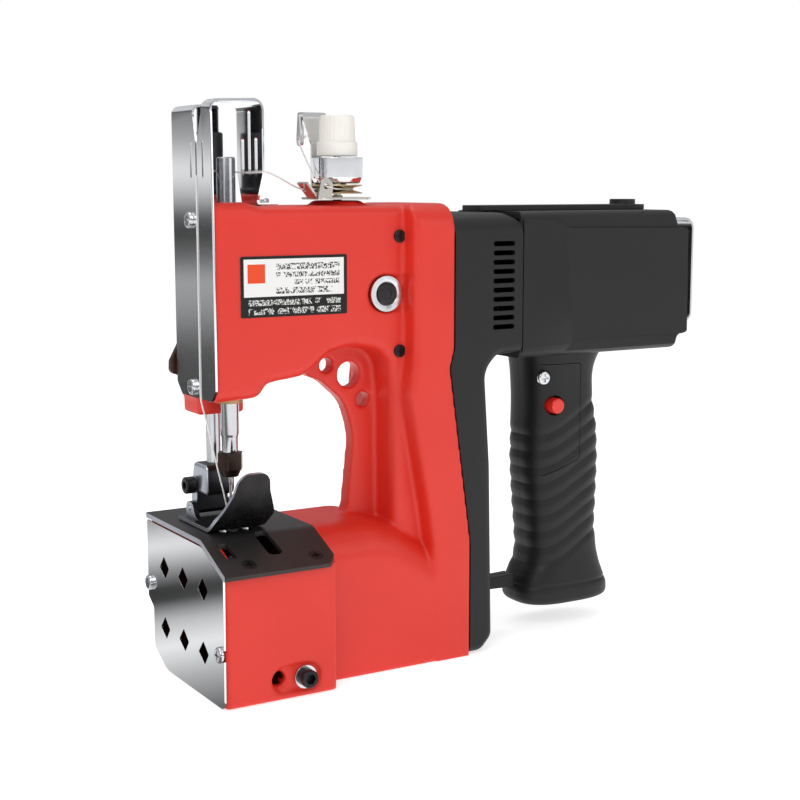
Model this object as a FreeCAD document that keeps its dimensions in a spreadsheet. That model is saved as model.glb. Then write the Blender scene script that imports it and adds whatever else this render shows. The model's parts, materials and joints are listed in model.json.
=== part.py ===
"""Hand-held bag closer sewing machine.

A red cast frame carries a needle bar and a presser bar over a needle plate. A motor with a pistol
grip is screwed to the back of the frame. The origin is on the underside, right below the needle.
+Z is up along the needle, +X points to the motor and -Y is the side that faces the user's bag.
"""
import FreeCAD, Part
import math
import os
import re
from FreeCAD import Placement, Rotation, Vector

doc = FreeCAD.newDocument("BagCloser")

# Driving dimensions, millimetres, teeth and degrees.
SIZES = {
    "mid": 8.0,
    "block_left": -22.8,
    "block_right": 41.0,
    "block_front": -42.0,
    "block_back": 58.0,
    "block_top": 82.0,
    "beam_wide": 73.0,
    "arm_wide": 50.0,
    "arm_top": 255.0,
    "head_left": -14.5,
    "head_top": 257.0,
    "flange_wide": 74.0,
    "flange_top": 256.0,
    "web_wide": 10.0,
    "plate_thick": 2.5,
    "sheet_thick": 1.2,
    "cover_wall": 2.8,
    "shoulder": 14.0,
    "housing_wide": 72.0,
    "housing_low": 168.0,
    "housing_high": 251.0,
    "housing_right": 291.5,
    "grip_wide": 40.0,
    "grip_left": 192.0,
    "grip_right": 245.0,
    "grip_low": 14.5,
    "drive_high": 209.0,
    "layshaft_high": 189.8,
    "lower_high": 45.0,
    "shaft_radius": 5.0,
    "running_gap": 0.05,
    "gear_module": 0.8,
    "pinion_teeth": 12,
    "gear_teeth": 36,
    "crank_throw": 12.0,
    "needle_radius": 0.8,
    "bar_radius": 5.0,
    "presser_radius": 4.0,
    "presser_back": 21.5,
    "hinge_back": 28.0,
    "hinge_high": 91.8,
    "tension_across": 68.5,
    "tension_back": 5.5,
    "button_across": 205.3,
    "button_high": 136.5,
    "screw_radius": 2.0,
    "pan_radius": 4.2,
    "pan_tall": 2.2,
}

sheet = doc.addObject("Spreadsheet::Sheet", "Sizes")
for row, (word, value) in enumerate(SIZES.items(), start=1):
    sheet.set(f"A{row}", word)
    sheet.set(f"B{row}", str(value))
    sheet.setAlias(f"B{row}", word)
doc.recompute()

NODES = {}


def size(word):
    """Value of one spreadsheet cell."""
    return float(sheet.get(word))


def bind(obj, prop, formula):
    """Tie a property to a formula written with the sheet's words."""
    text = re.sub(r"[a-z_]+", lambda m: "Sizes." + m[0] if m[0] in SIZES else m[0], str(formula))
    obj.setExpression(prop, text)


def move(obj, x="0", y="0", z="0"):
    """Tie a placement's position to three formulas."""
    for axis, formula in zip("xyz", (x, y, z)):
        bind(obj, "Placement.Base." + axis, formula)


def node(name, obj):
    """Register an object as a finished sub-part."""
    obj.Label = name
    NODES[name] = obj
    return obj


# ---- primitives and booleans ----

def block(name, x, y, z):
    """Box between pairs of formulas along each axis."""
    obj = doc.addObject("Part::Box", name)
    for prop, (low, high) in zip(("Length", "Width", "Height"), (x, y, z)):
        bind(obj, prop, f"({high}) - ({low})")
    move(obj, x[0], y[0], z[0])
    return obj


TURN = {"X": Rotation(Vector(0, 1, 0), 90), "Y": Rotation(Vector(1, 0, 0), -90), "Z": Rotation()}


def rod(name, axis, across, span, radius):
    """Cylinder along an axis; across gives the two other coordinates in order."""
    obj = doc.addObject("Part::Cylinder", name)
    bind(obj, "Radius", radius)
    bind(obj, "Height", f"({span[1]}) - ({span[0]})")
    obj.Placement = Placement(Vector(), TURN[axis])
    spot = list(across)
    spot.insert("XYZ".index(axis), span[0])
    move(obj, *spot)
    return obj


def fuse(name, parts):
    """Union of two or more objects."""
    obj = doc.addObject("Part::MultiFuse", name)
    obj.Shapes = parts
    obj.Refine = True
    return obj


def cut(name, base, tools):
    """Base with the tools taken away."""
    tool = tools[0] if len(tools) == 1 else fuse(name + "_tools", tools)
    obj = doc.addObject("Part::Cut", name)
    obj.Base = base
    obj.Tool = tool
    obj.Refine = True
    return obj


def common(name, parts):
    """Space that all the objects share."""
    obj = doc.addObject("Part::MultiCommon", name)
    obj.Shapes = parts
    return obj


def rounded(name, base, radius, chosen):
    """Fillet the edges of base that the chosen test accepts."""
    doc.recompute()
    obj = doc.addObject("Part::Fillet", name)
    obj.Base = base
    edges = enumerate(base.Shape.Edges, start=1)
    obj.Edges = [(index, radius, radius) for index, edge in edges if chosen(edge)]
    return obj


def made(name, shape):
    """A feature whose shape comes from Part's own functions."""
    obj = doc.addObject("Part::Feature", name)
    obj.Shape = shape
    return obj


# ---- sketched bodies ----

PLANES = {"XY": "XY_Plane", "XZ": "XZ_Plane", "YZ": "YZ_Plane"}


def outline(points):
    """Closed run of lines with an arc at each point that has a radius as its third number."""
    count = len(points)
    corners = []
    for index, point in enumerate(points):
        here = Vector(point[0], point[1], 0)
        if len(point) == 2:
            corners.append((here, None, here))
            continue
        before = Vector(*points[index - 1][:2], 0) - here
        after = Vector(*points[(index + 1) % count][:2], 0) - here
        half = before.getAngle(after) / 2
        reach = point[2] / math.tan(half)
        bisector = (before.normalize() + after.normalize()).normalize()
        centre = here + bisector * (point[2] / math.sin(half))
        middle = centre - bisector * point[2]
        corners.append((here + before * reach, middle, here + after * reach))
    pieces = []
    for index, (start, middle, end) in enumerate(corners):
        if middle is not None:
            pieces.append(Part.Arc(start, middle, end))
        following = corners[(index + 1) % count][0]
        if end.distanceToPoint(following) > 1e-4:
            pieces.append(Part.LineSegment(end, following))
    return pieces


def sketch_on(body, plane, geometry, name):
    """Sketch on one of a body's own origin planes."""
    sketch = body.newObject("Sketcher::SketchObject", name)
    support = [f for f in body.Origin.OriginFeatures if f.Role == PLANES[plane]][0]
    sketch.AttachmentSupport = (support, [""])
    sketch.MapMode = "FlatFace"
    sketch.addGeometry(geometry, False)
    return sketch


def slab(name, plane, points, span):
    """Pad an outline along the plane's normal between two formulas."""
    body = doc.addObject("PartDesign::Body", name)
    sketch = sketch_on(body, plane, outline(points), name + "_sketch")
    pad = body.newObject("PartDesign::Pad", name + "_pad")
    pad.Profile = sketch
    bind(pad, "Length", f"({span[1]}) - ({span[0]})")
    pad.Reversed = plane == "XZ"
    body.Tip = pad
    offset = {"XY": "z", "XZ": "y", "YZ": "x"}[plane]
    bind(body, "Placement.Base." + offset, span[0])
    return body


def slab_mid(name, points, wide, plane="XZ"):
    """Pad an outline seen from the front, centred on the machine's middle plane."""
    return slab(name, plane, points, (f"mid - ({wide})/2", f"mid + ({wide})/2"))


def turned(name, axis, centre, profile):
    """Revolve a (radius, length) profile about an axis through a centre."""
    body = doc.addObject("PartDesign::Body", name)
    sketch = sketch_on(body, "XZ", outline(profile), name + "_sketch")
    spin = body.newObject("PartDesign::Revolution", name + "_spin")
    spin.Profile = sketch
    line = [f for f in body.Origin.OriginFeatures if f.Role == "Z_Axis"][0]
    spin.ReferenceAxis = (line, [""])
    spin.Angle = 360
    body.Tip = spin
    body.Placement = Placement(Vector(), TURN[axis])
    move(body, *centre)
    return body


def ring(name, axis, centre, bore, outside, length):
    """Plain bush or washer."""
    return turned(name, axis, centre, [(bore, 0), (outside, 0), (outside, length), (bore, length)])


# ---- fasteners and small shapes ----

def aimed(shape, spot, direction):
    """Move a shape modelled along +Z so that +Z points along direction at spot."""
    copy = shape.copy()
    copy.Placement = Placement(Vector(*spot), Rotation(Vector(0, 0, 1), Vector(*direction)))
    return copy


def cross_recess(radius, depth, top):
    """Tool for a cross-head recess."""
    long, thin = radius * 1.2, radius * 0.28
    bars = [Part.makeBox(long, thin, depth, Vector(-long / 2, -thin / 2, top - depth)),
            Part.makeBox(thin, long, depth, Vector(-thin / 2, -long / 2, top - depth))]
    return bars[0].fuse(bars[1])


def pan_screw(radius, tall, shank, deep):
    """Pan-head screw: head above z = 0, shank below."""
    head = Part.makeCylinder(radius, tall)
    rim = [e for e in head.Edges if abs(e.BoundBox.ZMin - tall) < 1e-6 and abs(e.BoundBox.ZMax - tall) < 1e-6]
    head = head.makeFillet(tall * 0.55, rim)
    body = head.fuse(Part.makeCylinder(shank, deep, Vector(0, 0, -deep)))
    return body.cut(cross_recess(radius, tall * 0.6, tall)).removeSplitter()


def sunk_screw(radius, shank, deep):
    """Countersunk screw with its top at z = 0."""
    cone = Part.makeCone(shank, radius, radius - shank, Vector(0, 0, shank - radius))
    body = cone.fuse(Part.makeCylinder(shank, deep, Vector(0, 0, -deep)))
    return body.cut(cross_recess(radius, 1.0, 0)).removeSplitter()


def socket_screw(radius, tall, shank, deep, across):
    """Socket cap screw: head above z = 0, shank below."""
    head = Part.makeCylinder(radius, tall)
    rim = [e for e in head.Edges if e.BoundBox.ZMin > tall - 1e-6]
    head = head.makeChamfer(0.5, rim)
    corners = [Vector(math.cos(a) * across / 1.732, math.sin(a) * across / 1.732, tall)
               for a in (math.radians(60 * k) for k in range(7))]
    hexagon = Part.Face(Part.makePolygon(corners)).extrude(Vector(0, 0, -tall * 0.6))
    return head.fuse(Part.makeCylinder(shank, deep, Vector(0, 0, -deep))).cut(hexagon).removeSplitter()


def group(name, shapes):
    """Several separate solids that share one node."""
    return node(name, made(name, Part.makeCompound(shapes)))


def gear(teeth, module, width, bore, phase):
    """Spur gear with straight-sided teeth and working backlash, its axis along +X from x = 0."""
    pitch = teeth * module / 2
    tip, root = pitch + module * 0.85, pitch - module * 1.15
    step = 2 * math.pi / teeth
    points = []
    for k in range(teeth):
        for share, radius in ((-0.36, root), (-0.205, pitch), (-0.10, tip),
                              (0.10, tip), (0.205, pitch), (0.36, root)):
            angle = phase + (k + share) * step
            points.append(Vector(0, math.cos(angle) * radius, math.sin(angle) * radius))
    points.append(points[0])
    blank = Part.Face(Part.makePolygon(points)).extrude(Vector(width, 0, 0))
    return blank.cut(Part.makeCylinder(bore, width, Vector(), Vector(1, 0, 0)))


def helix(radius, wire, pitch, height):
    """Round-wire coil spring that stands on z = 0."""
    path = Part.makeHelix(pitch, height, radius)
    ring = Part.Wire(Part.makeCircle(wire, Vector(radius, 0, 0), Vector(0, 1, 0)))
    return Part.Wire(path).makePipeShell([ring], True, True)


MID = size("mid")
DRIVE = size("drive_high")
LAY = size("layshaft_high")
LOWER = size("lower_high")


# ---- the cast frame ----

def main_casting():
    """Head, arm, pillar, flange, lower beam and base block in one red casting."""
    left = size("head_left")
    arm = slab_mid("arm", [
        (left, 154.5), (11, 155.5, 8), (15, 162.5, 6), (38, 165.5, 18), (52, 177, 12), (66, 180, 20),
        (88, 176, 14), (90.5, 150, 60), (91.5, 60), (114, 60), (114, size("arm_top")),
        (11, size("arm_top"), 4), (6.5, size("head_top"), 3), (left, size("head_top"))], "arm_wide")
    arm = rounded("arm_soft", arm, 5.5, lambda e: e.BoundBox.YLength < 0.01 and e.BoundBox.XMax > left + 0.1
                  and e.BoundBox.XMin < 113 and e.BoundBox.ZMax > 61)
    flange = slab_mid("flange", [
        (97, size("flange_top"), 5), (97.5, 176, 30), (94.5, 152, 25), (98, 132, 30), (106, 90, 40),
        (109.5, 68, 30), (108.6, 0), (134, 0), (134, 67, 30), (120, 166, 8), (123, 177, 8),
        (123, size("flange_top"))], "flange_wide")
    flange = rounded("flange_soft", flange, 4.5, lambda e: e.BoundBox.YLength < 0.01
                     and e.BoundBox.XMin < 118 and e.BoundBox.ZMax > 1 and e.BoundBox.XMax < 123.1)
    wide, top = size("flange_wide") / 2, size("flange_top")
    shoulders = slab("flange_shoulders", "YZ", [
        (MID - wide, -1), (MID + wide, -1), (MID + wide, top, size("shoulder")),
        (MID - wide, top, size("shoulder"))], ("90", "140"))
    flange = common("flange_round", [flange, shoulders])
    beam = slab_mid("beam", [(40.6, 0), (112, 0), (112, 66), (92, 79, 30), (76, 84, 30), (40.6, 84)],
                    "beam_wide")
    beam = rounded("beam_soft", beam, 20, lambda e: e.BoundBox.YLength < 0.01 and e.BoundBox.ZMin > 60
                   and e.BoundBox.XLength > 1)
    base = slab("base", "YZ", [
        (size("block_front"), 0, 2), (32, 0, 20), (53.5, 9, 8), (53.5, 34, 3), (size("block_back"), 38, 3),
        (size("block_back"), size("block_top")), (-16, size("block_top"), 8), (size("block_front"), 70)],
        ("block_left", "block_right"))
    web = slab_mid("web", [
        (45, 164, 8), (57, 159.5, 20), (71, 147, 20), (77, 128, 40), (72.3, 86, 20), (66, 76), (96, 76),
        (96, 176), (60, 184), (45, 172)], "web_wide")
    foot_boss = block("foot_boss", ("-13.5", "13"), ("9.5", "30"), ("145", "156"))
    sleeve_boss = rod("sleeve_boss", "Z", ("0", "presser_back"), ("head_top - 2", "head_top + 4"), "11")
    cone = doc.addObject("Part::Cone", "tension_boss")
    cone.Radius1 = 19
    cone.Radius2 = 13
    cone.Height = 5.5
    move(cone, "tension_across", "tension_back + 1", "arm_top - 3")
    solid = fuse("casting_solid", [arm, flange, beam, base, web, foot_boss, sleeve_boss, cone])

    groove = slab("groove", "XZ", [(74.9, 207.5 - 10.3, 10.2), (74.9, 207.5 + 10.3, 10.2),
                                   (98, 217.8), (98, 197.2)], ("-20", "-15.2"))
    tools = [
        block("head_room", ("head_left - 5", "27"), ("-12", "28"), ("161", "250")),
        rod("arm_room", "X", ("mid", "drive_high"), ("20", "104"), "15"),
        block("belt_room", ("101", "140"), ("mid - 20", "mid + 20"), ("22", "232")),
        rod("beam_room", "X", ("mid", "lower_high"), ("30", "104"), "14"),
        cut("base_room", slab("base_hollow", "YZ", [
            (-37, 5), (35, 5, 10), (47, 14, 6), (47, 77), (-18, 77), (-37, 66)], ("block_left - 5", "35")),
            [block("socket_boss", ("0", "36"), ("-38", "-26"), ("4", "20"))]),
        block("plate_window", ("-14", "24"), ("-33", "26"), ("60", "90")),
        rod("needle_bush_hole", "Z", ("0", "0"), ("140", "270"), "7"),
        rod("presser_bush_hole", "Z", ("0", "presser_back"), ("140", "270"), "6.2"),
        slab("front_recess", "XZ", [(2.8, 3.2, 7.4), (2.8, 18.4, 7.4), (31.5, 18.4, 7.4), (31.5, 3.2, 7.4)],
             ("block_front - 1", "block_front + 2.5")),
        rod("front_socket", "Y", ("7.7", "11.3"), ("block_front", "block_front + 14"), "4"),
        rod("lock_hole", "Y", ("22.8", "10.4"), ("block_front", "block_front + 16"), "3"),
        rod("web_hole_a", "Y", ("60", "168"), ("-5", "20"), "4.2"),
        rod("web_hole_b", "Y", ("74", "162"), ("-5", "20"), "7.2"),
        rod("web_hole_c", "Y", ("83", "147.5"), ("-5", "20"), "4.4"),
        rod("tension_hole", "Z", ("tension_across", "tension_back"), ("244", "262"), "2.5"),
        rod("lever_hole", "Y", ("-3", "186"), ("25", "35"), "4"),
        rod("arm_socket", "Y", ("86", "207.5"), ("-20", "-8"), "9.75"),
        groove,
    ]
    node("main_casting", cut("main_casting", solid, tools))



# ---- base: plate, end cover and their screws ----

def base_parts():
    """Needle plate, chrome end cover and the fasteners on the base block."""
    top = size("block_top") + 0.1
    thick = size("plate_thick")
    strip = slab("plate_strip", "YZ", [
        (61, top), (-16, top, 10), (-45, top - 13.4), (-46.1, top - 13.4 + 2.3), (-16, top + thick, 12),
        (61, top + thick)], ("-25", "40.5"))
    trim = slab("plate_trim", "XY", [(-40, -60), (60, -60), (60, 80), (-40, 80)], ("60", "100"))
    keep = slab("plate_keep", "XY", [(-25, -46.5, 2.5), (34.5, -46.5, 2), (40.5, -40, 3), (40.5, 61, 2),
                                     (-25, 61, 2)], ("59", "101"))
    holes = [
        cut("plate_trim_ring", trim, [keep]),
        slab("wide_slot", "XY", [(6, -34, 3), (14.6, -34, 3), (12.3, -14, 3), (4.8, -14, 3)], ("60", "90")),
        slab("small_slot", "XY", [(-17.5, -33, 1.5), (-11.5, -33, 1.5), (-13, -21, 1.5), (-18.5, -21, 1.5)],
             ("60", "90")),
        slab("feed_slot_near", "XY", [(-9, -9), (-4, -9), (-4, 24), (-9, 24)], ("60", "90")),
        slab("feed_slot_far", "XY", [(4, -9), (9, -9), (9, 24), (4, 24)], ("60", "90")),
        slab("needle_slot", "XY", [(-1.7, -4, 1.6), (1.7, -4, 1.6), (1.7, 5, 1.6), (-1.7, 5, 1.6)],
             ("60", "90")),
    ]
    tilt = Vector(0, -13.4, 29).normalize()
    spots = [(-7.8, -38.6, top - 7.7), (30.5, -38.6, top - 7.7)]
    for index, spot in enumerate(spots):
        holes.append(made(f"plate_hole_{index}",
                          aimed(Part.makeCylinder(3.9, 6, Vector(0, 0, -4)), spot, tilt)))
    node("needle_plate", cut("needle_plate", strip, holes))
    group("needle_plate_screws", [aimed(sunk_screw(3.8, 1.6, 7), spot, tilt) for spot in spots])

    face = slab("end_sheet", "YZ", [
        (-41, 0.4, 4), (34, 0.4, 18), (52.8, 9, 6), (52.8, 32, 3), (60.4, 37, 3), (60.4, 80.5),
        (-15.5, 80.5, 8), (-41.8, 68.6)], ("block_left - sheet_thick - 0.05", "block_left - 0.05"))
    cuts = []
    for row, high in enumerate((58.2, 24.2)):
        for column in range(3):
            across = -16 + 26 * column
            points = [(across + 0.5, high + 6.2, 0.8), (across + 6.8, high - 0.9, 0.8),
                      (across - 1.2, high - 6.0, 0.8), (across - 6.3, high + 0.5, 0.8)]
            cuts.append(slab(f"diamond_{row}_{column}", "YZ", points, ("block_left - 3", "block_left + 1")))
    cuts.append(slab("near_slot", "YZ", [(-45, 26), (-33.6, 26, 2.9), (-33.6, 32, 2.9), (-45, 32)],
                     ("block_left - 3", "block_left + 1")))
    cuts.append(slab("far_slot", "YZ", [(64, 42.5), (53.4, 42.5, 2.9), (53.4, 48.5, 2.9), (64, 48.5)],
                     ("block_left - 3", "block_left + 1")))
    node("base_end_cover", cut("base_end_cover", face, cuts))

    pan = pan_screw(size("pan_radius"), size("pan_tall"), size("screw_radius"), 6)
    outer = size("block_left") - size("sheet_thick") - 0.1
    plate_x = size("head_left") - size("sheet_thick") - 0.1
    spots = [((outer, -37.5, 29), (-1, 0, 0)), ((outer, 56.4, 45.5), (-1, 0, 0)),
             ((plate_x, 9.8, 247.8), (-1, 0, 0)), ((plate_x, 9.8, 160.7), (-1, 0, 0)),
             ((20.5, 1, 256.7), (0, 0, 1)), ((197.6, MID - 17.05, 153.4), (0, -1, 0))]
    group("cover_screws", [aimed(pan, spot, way) for spot, way in spots])
    lock = socket_screw(4.8, 5.4, 2.9, 14, 5)
    bush = socket_screw(6.1, 1.0, 3.35, 7.5, 5.4)
    group("socket_screws", [aimed(lock, (22.8, size("block_front") + 0.85, 10.4), (0, -1, 0)),
                            aimed(bush, (86, -17.25, 207.5), (0, -1, 0))])
    node("base_lock_washer", ring("base_lock_washer", "Y", ("22.8", "block_front + 0.9", "10.4"), 3.1, 6.3,
                                  1.4))


# ---- face plate and thread guard on the head ----

def face_parts():
    """The two chrome face plates; the near one runs over the top as a slotted guard."""
    left = size("head_left")
    outer = (f"{left} - sheet_thick - 0.05", f"{left} - 0.05")
    far = slab("far_flat", "YZ", [(1.5, 155.2, 1), (25.5, 155.2, 2), (31.8, 161.5, 2), (32.5, 302, 3),
                                  (5.5, 302, 1), (1.9, 288, 10)], outer)
    far_top = slab("far_top", "XZ", [(-15.75, 298), (-15.75, 306, 4), (-6.5, 307.2), (-6.5, 306),
                                     (-14.55, 304.8, 2.8),
                                     (-14.55, 298)], ("5.5", "32.5"))
    far_slot = slab("far_slot_cut", "YZ", [(7, 269, 0.8), (8.7, 269, 0.8), (8.7, 288, 0.8), (7, 288, 0.8)],
                    ("-18", "-12"))
    tools = [far_slot] + [rod(f"face_hole_{high}", "X", ("9.8", str(high)), ("-20", "-10"),
                              "screw_radius + 0.1")
                          for high in (247.8, 160.7)]
    node("face_plate_far", cut("face_plate_far", fuse("far_sheet", [far, far_top]), tools))

    near = slab("near_flat", "YZ", [(0.4, 155.2, 1), (-12.8, 155.2, 2), (-18.3, 161.5, 2), (-17, 302),
                                    (-5.6, 302), (0.2, 288, 10)], outer)
    band = [(-15.75, 298), (-15.75, 308.4, 5), (14.9, 309.6, 6), (14.9, 256.6, 1), (26, 256.6), (26, 255.4),
            (13.7, 255.4, 2.2), (13.7, 308.3, 4.8), (-14.55, 307.2, 3.8), (-14.55, 298)]
    strap = slab("guard_strap", "XZ", band, ("-18", "16"))
    shape = slab("guard_shape", "XY", [(-16, -17, 1), (16, -15.2, 1), (16, 15.2, 1), (5, 12, 8),
                                       (-8, -5.6, 8),
                                       (-16, -5.6)], ("294", "312"))
    leg = slab("guard_leg_shape", "YZ", [(-15.2, 312), (-15.2, 271, 4), (-8.5, 258, 3), (-7.5, 250),
                                         (10.5, 250),
                                         (10.5, 258, 3), (15.2, 271, 4), (15.2, 312)], ("13.2", "26.5"))
    kept = doc.addObject("Part::MultiCommon", "guard_band")
    kept.Shapes = [strap, fuse("guard_limits", [shape, leg])]
    cuts = [slab("near_slot_cut", "YZ", [(-8, 269, 0.8), (-6.3, 269, 0.8), (-6.3, 288, 0.8), (-8, 288, 0.8)],
                 ("-18", "-12")), rod("guard_hole", "Z", ("20.5", "1"), ("250", "258"), "screw_radius + 0.1")]
    for index, (across, high) in enumerate(((-8, 290), (0, 304), (8, 290))):
        cuts.append(slab(f"guard_slot_{index}", "YZ", [
            (across - 1.6, high, 1.5), (across - 1.6, 274), (across, 270.5), (across + 1.6, 274),
            (across + 1.6, high, 1.5)], ("12", "16")))
    node("face_plate_near", cut("face_plate_near", fuse("near_sheet", [near, kept]), cuts))


# ---- bars, feet and what drives them inside the head ----

def bar_parts():
    """Needle bar and presser bar with their bushes, feet and the lifting lever."""
    bar, gap, foot = size("bar_radius"), size("running_gap"), size("presser_radius")
    back = size("presser_back")
    bushes = []
    for low, tall in ((247, 9.9), (152.5, 12)):
        outer = Part.makeCylinder(6.95, tall, Vector(0, 0, low))
        bushes.append(outer.cut(Part.makeCylinder(bar + gap, tall, Vector(0, 0, low))))
    low = Part.makeCylinder(6.15, 14, Vector(0, back, 147))
    bushes.append(low.cut(Part.makeCylinder(foot + gap, 14, Vector(0, back, 147))))
    group("bar_bushes", bushes)

    body = turned("needle_tube", "Z", ("0", "0", "126"), [
        (0, 0), (bar - 0.6, 0), (bar - 0.6, 8), (bar, 10), (bar, 153.4), (bar - 0.6, 154), (3.6, 154),
        (3.6, 142),
        (0, 142)])
    slit = block("collet_slit", ("-6", "6"), ("-0.5", "0.5"), ("125", "138"))
    node("needle_bar", cut("needle_bar", body, [slit]))
    hexagon = doc.addObject("Part::Prism", "nut_hexagon")
    hexagon.Polygon = 6
    hexagon.Circumradius = 7.2
    hexagon.Height = 9
    move(hexagon, "0", "0", "116.9")
    nut = fuse("nut_solid", [hexagon, turned("nut_nose", "Z", ("0", "0", "113"),
                                             [(1.2, 0), (4.2, 0), (6, 4), (1.2, 4)])])
    node("collet_nut", cut("collet_nut", nut, [rod("nut_bore", "Z", ("0", "0"), ("112", "127"), "1.2")]))
    radius = size("needle_radius")
    node("needle", turned("needle", "Z", ("0", "0", "80"), [
        (0, 0), (radius * 0.6, 4), (radius, 9), (radius, 28), (1.15, 30), (1.15, 45.9), (0, 45.9)]))

    clamp = rod("clamp_block", "Z", ("0", "0"), ("180", "192"), "8.4")
    stud = rod("clamp_stud", "X", ("0", "186"), ("4", "10"), "3")
    node("needle_bar_clamp", cut("needle_bar_clamp", fuse("clamp_solid", [clamp, stud]),
                                 [rod("clamp_bore", "Z", ("0", "0"), ("179", "193"), "bar_radius")]))
    tip_y = MID - math.sqrt(size("crank_throw") ** 2 - 9)
    low_eye = Part.makeCylinder(6, 3.6, Vector(8.6, 0, 186), Vector(1, 0, 0))
    top_eye = Part.makeCylinder(6, 3.6, Vector(8.6, tip_y, DRIVE + 3), Vector(1, 0, 0))
    run = Vector(0, tip_y, DRIVE + 3 - 186)
    along = Rotation(Vector(0, 0, 1), run)
    link = Part.makeBox(3.6, 6, run.Length, Vector(0, -3, 0))
    link.Placement = Placement(Vector(8.6, 0, 186), along)
    rod_shape = low_eye.fuse([top_eye, link])
    for spot in (Vector(8, 0, 186), Vector(8, tip_y, DRIVE + 3)):
        rod_shape = rod_shape.cut(Part.makeCylinder(3.02, 5, spot, Vector(1, 0, 0)))
    node("connecting_rod", made("connecting_rod", rod_shape.removeSplitter()))

    node("presser_bar", rod("presser_bar", "Z", ("0", "presser_back"), ("101", "284"), "presser_radius"))
    collar = rod("collar_block", "Z", ("0", "presser_back"), ("212", "222"), "6.2")
    node("presser_bar_collar", cut("presser_bar_collar", collar,
                                   [rod("collar_bore", "Z", ("0", "presser_back"), ("211", "223"),
                                        "presser_radius")]))
    spring = helix(5.2, 0.6, 3.6, 34)
    spring.Placement = Placement(Vector(0, back, 222.7), Rotation())
    node("presser_spring", made("presser_spring", spring))
    node("presser_sleeve", turned("presser_sleeve", "Z", ("0", "presser_back", "261.1"), [
        (6.05, 0), (9, 0), (9, 2), (7.75, 3.4), (7.75, 31.2), (7.2, 32), (6.05, 32)]))
    node("presser_adjust_screw", turned("presser_adjust_screw", "Z", ("0", "presser_back", "258.5"), [
        (4.3, 0), (6, 0), (6, 47.5), (5.3, 48.4), (4.3, 48.4)]))

    block_low = slab("foot_block", "YZ", [(12.5, 103), (14, 100.6, 1), (29, 100.6, 3), (33, 106, 5),
                                          (30, 117, 3), (13, 117, 3)],
                     ("-8.5", "8.5"))
    block_low = rounded("foot_block_soft", block_low, 2, lambda e: e.BoundBox.XLength < 0.01)
    gap_cut = block("clamp_gap", ("-0.8", "0.8"), ("presser_back + 2", "36"), ("99", "119"))
    knuckle = slab("foot_knuckle", "YZ", [(24.7, 88.5, 3.2), (31.3, 88.5, 3.2), (31.3, 102), (23.5, 102)],
                   ("-9.1", "9.1"))
    holes = [rod("foot_bore", "Z", ("0", "presser_back"), ("101", "120"), "presser_radius"), gap_cut,
             rod("knuckle_bore", "X", ("hinge_back", "hinge_high"), ("-10", "10"), "1.55"),
             rod("screw_bore", "X", ("27.8", "104.5"), ("-12", "12"), "2.0")]
    node("presser_foot_holder", cut("presser_foot_holder", fuse("foot_holder_solid", [block_low, knuckle]),
                                    holes))
    group("foot_clamp_screw", [aimed(socket_screw(4.6, 5.6, 1.95, 14, 4.2), (-9.2, 27.8, 104.5), (-1, 0, 0))])

    sole = slab("sole_strip", "YZ", [
        (34, 87.2), (-5.5, 87.2, 9), (-19.5, 98, 14), (-29, 119.8), (-31, 119.1), (-21.3, 96.6, 16),
        (-6.2, 85.2, 11), (34, 85.2)], ("-16", "16"))
    front = slab("sole_front_shape", "XZ", [
        (-16, 80), (-16, 95, 12), (-9.8, 108, 14), (-8.2, 119.6, 7.6), (8.2, 119.6, 7.6), (10.4, 109, 14),
        (16, 95, 12), (16, 80)], ("-40", "40"))
    tongue = doc.addObject("Part::MultiCommon", "sole_tongue")
    tongue.Shapes = [sole, front]
    ears = [slab(f"sole_ear_{side}", "YZ", [(15, 87), (20, 88.6, 3), (24, 95.4, 3.6), (32, 95.4, 3.6),
                                            (33, 87)],
                 (low, high)) for side, low, high in (("a", "-12", "-9.4"), ("b", "9.4", "12"))]
    sole_cuts = [slab("sole_slot", "XY", [(-3, -5, 2.9), (3, -5, 2.9), (3, 12, 2.9), (-3, 12, 2.9)],
                      ("80", "90")),
                 rod("ear_bore", "X", ("hinge_back", "hinge_high"), ("-13", "13"), "1.45")]
    node("presser_sole", cut("presser_sole", fuse("sole_solid", [tongue] + ears), sole_cuts))
    node("sole_hinge_pin", rod("sole_hinge_pin", "X", ("hinge_back", "hinge_high"), ("-12.6", "12.6"), "1.5"))

    hub = rod("lever_hub", "Y", ("-3", "186"), ("27", "39"), "4 - running_gap")
    handle = slab("lever_handle", "XZ", [(-8.5, 190, 5), (2.5, 190, 5), (2.5, 182, 4), (-11, 163, 3),
                                         (-18.4, 165.5, 3), (-18.2, 172, 3)], ("34.6", "38"))
    node("presser_lift_lever", fuse("presser_lift_lever", [hub, handle]))


# ---- thread tension unit, label and small screws on the frame ----

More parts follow.
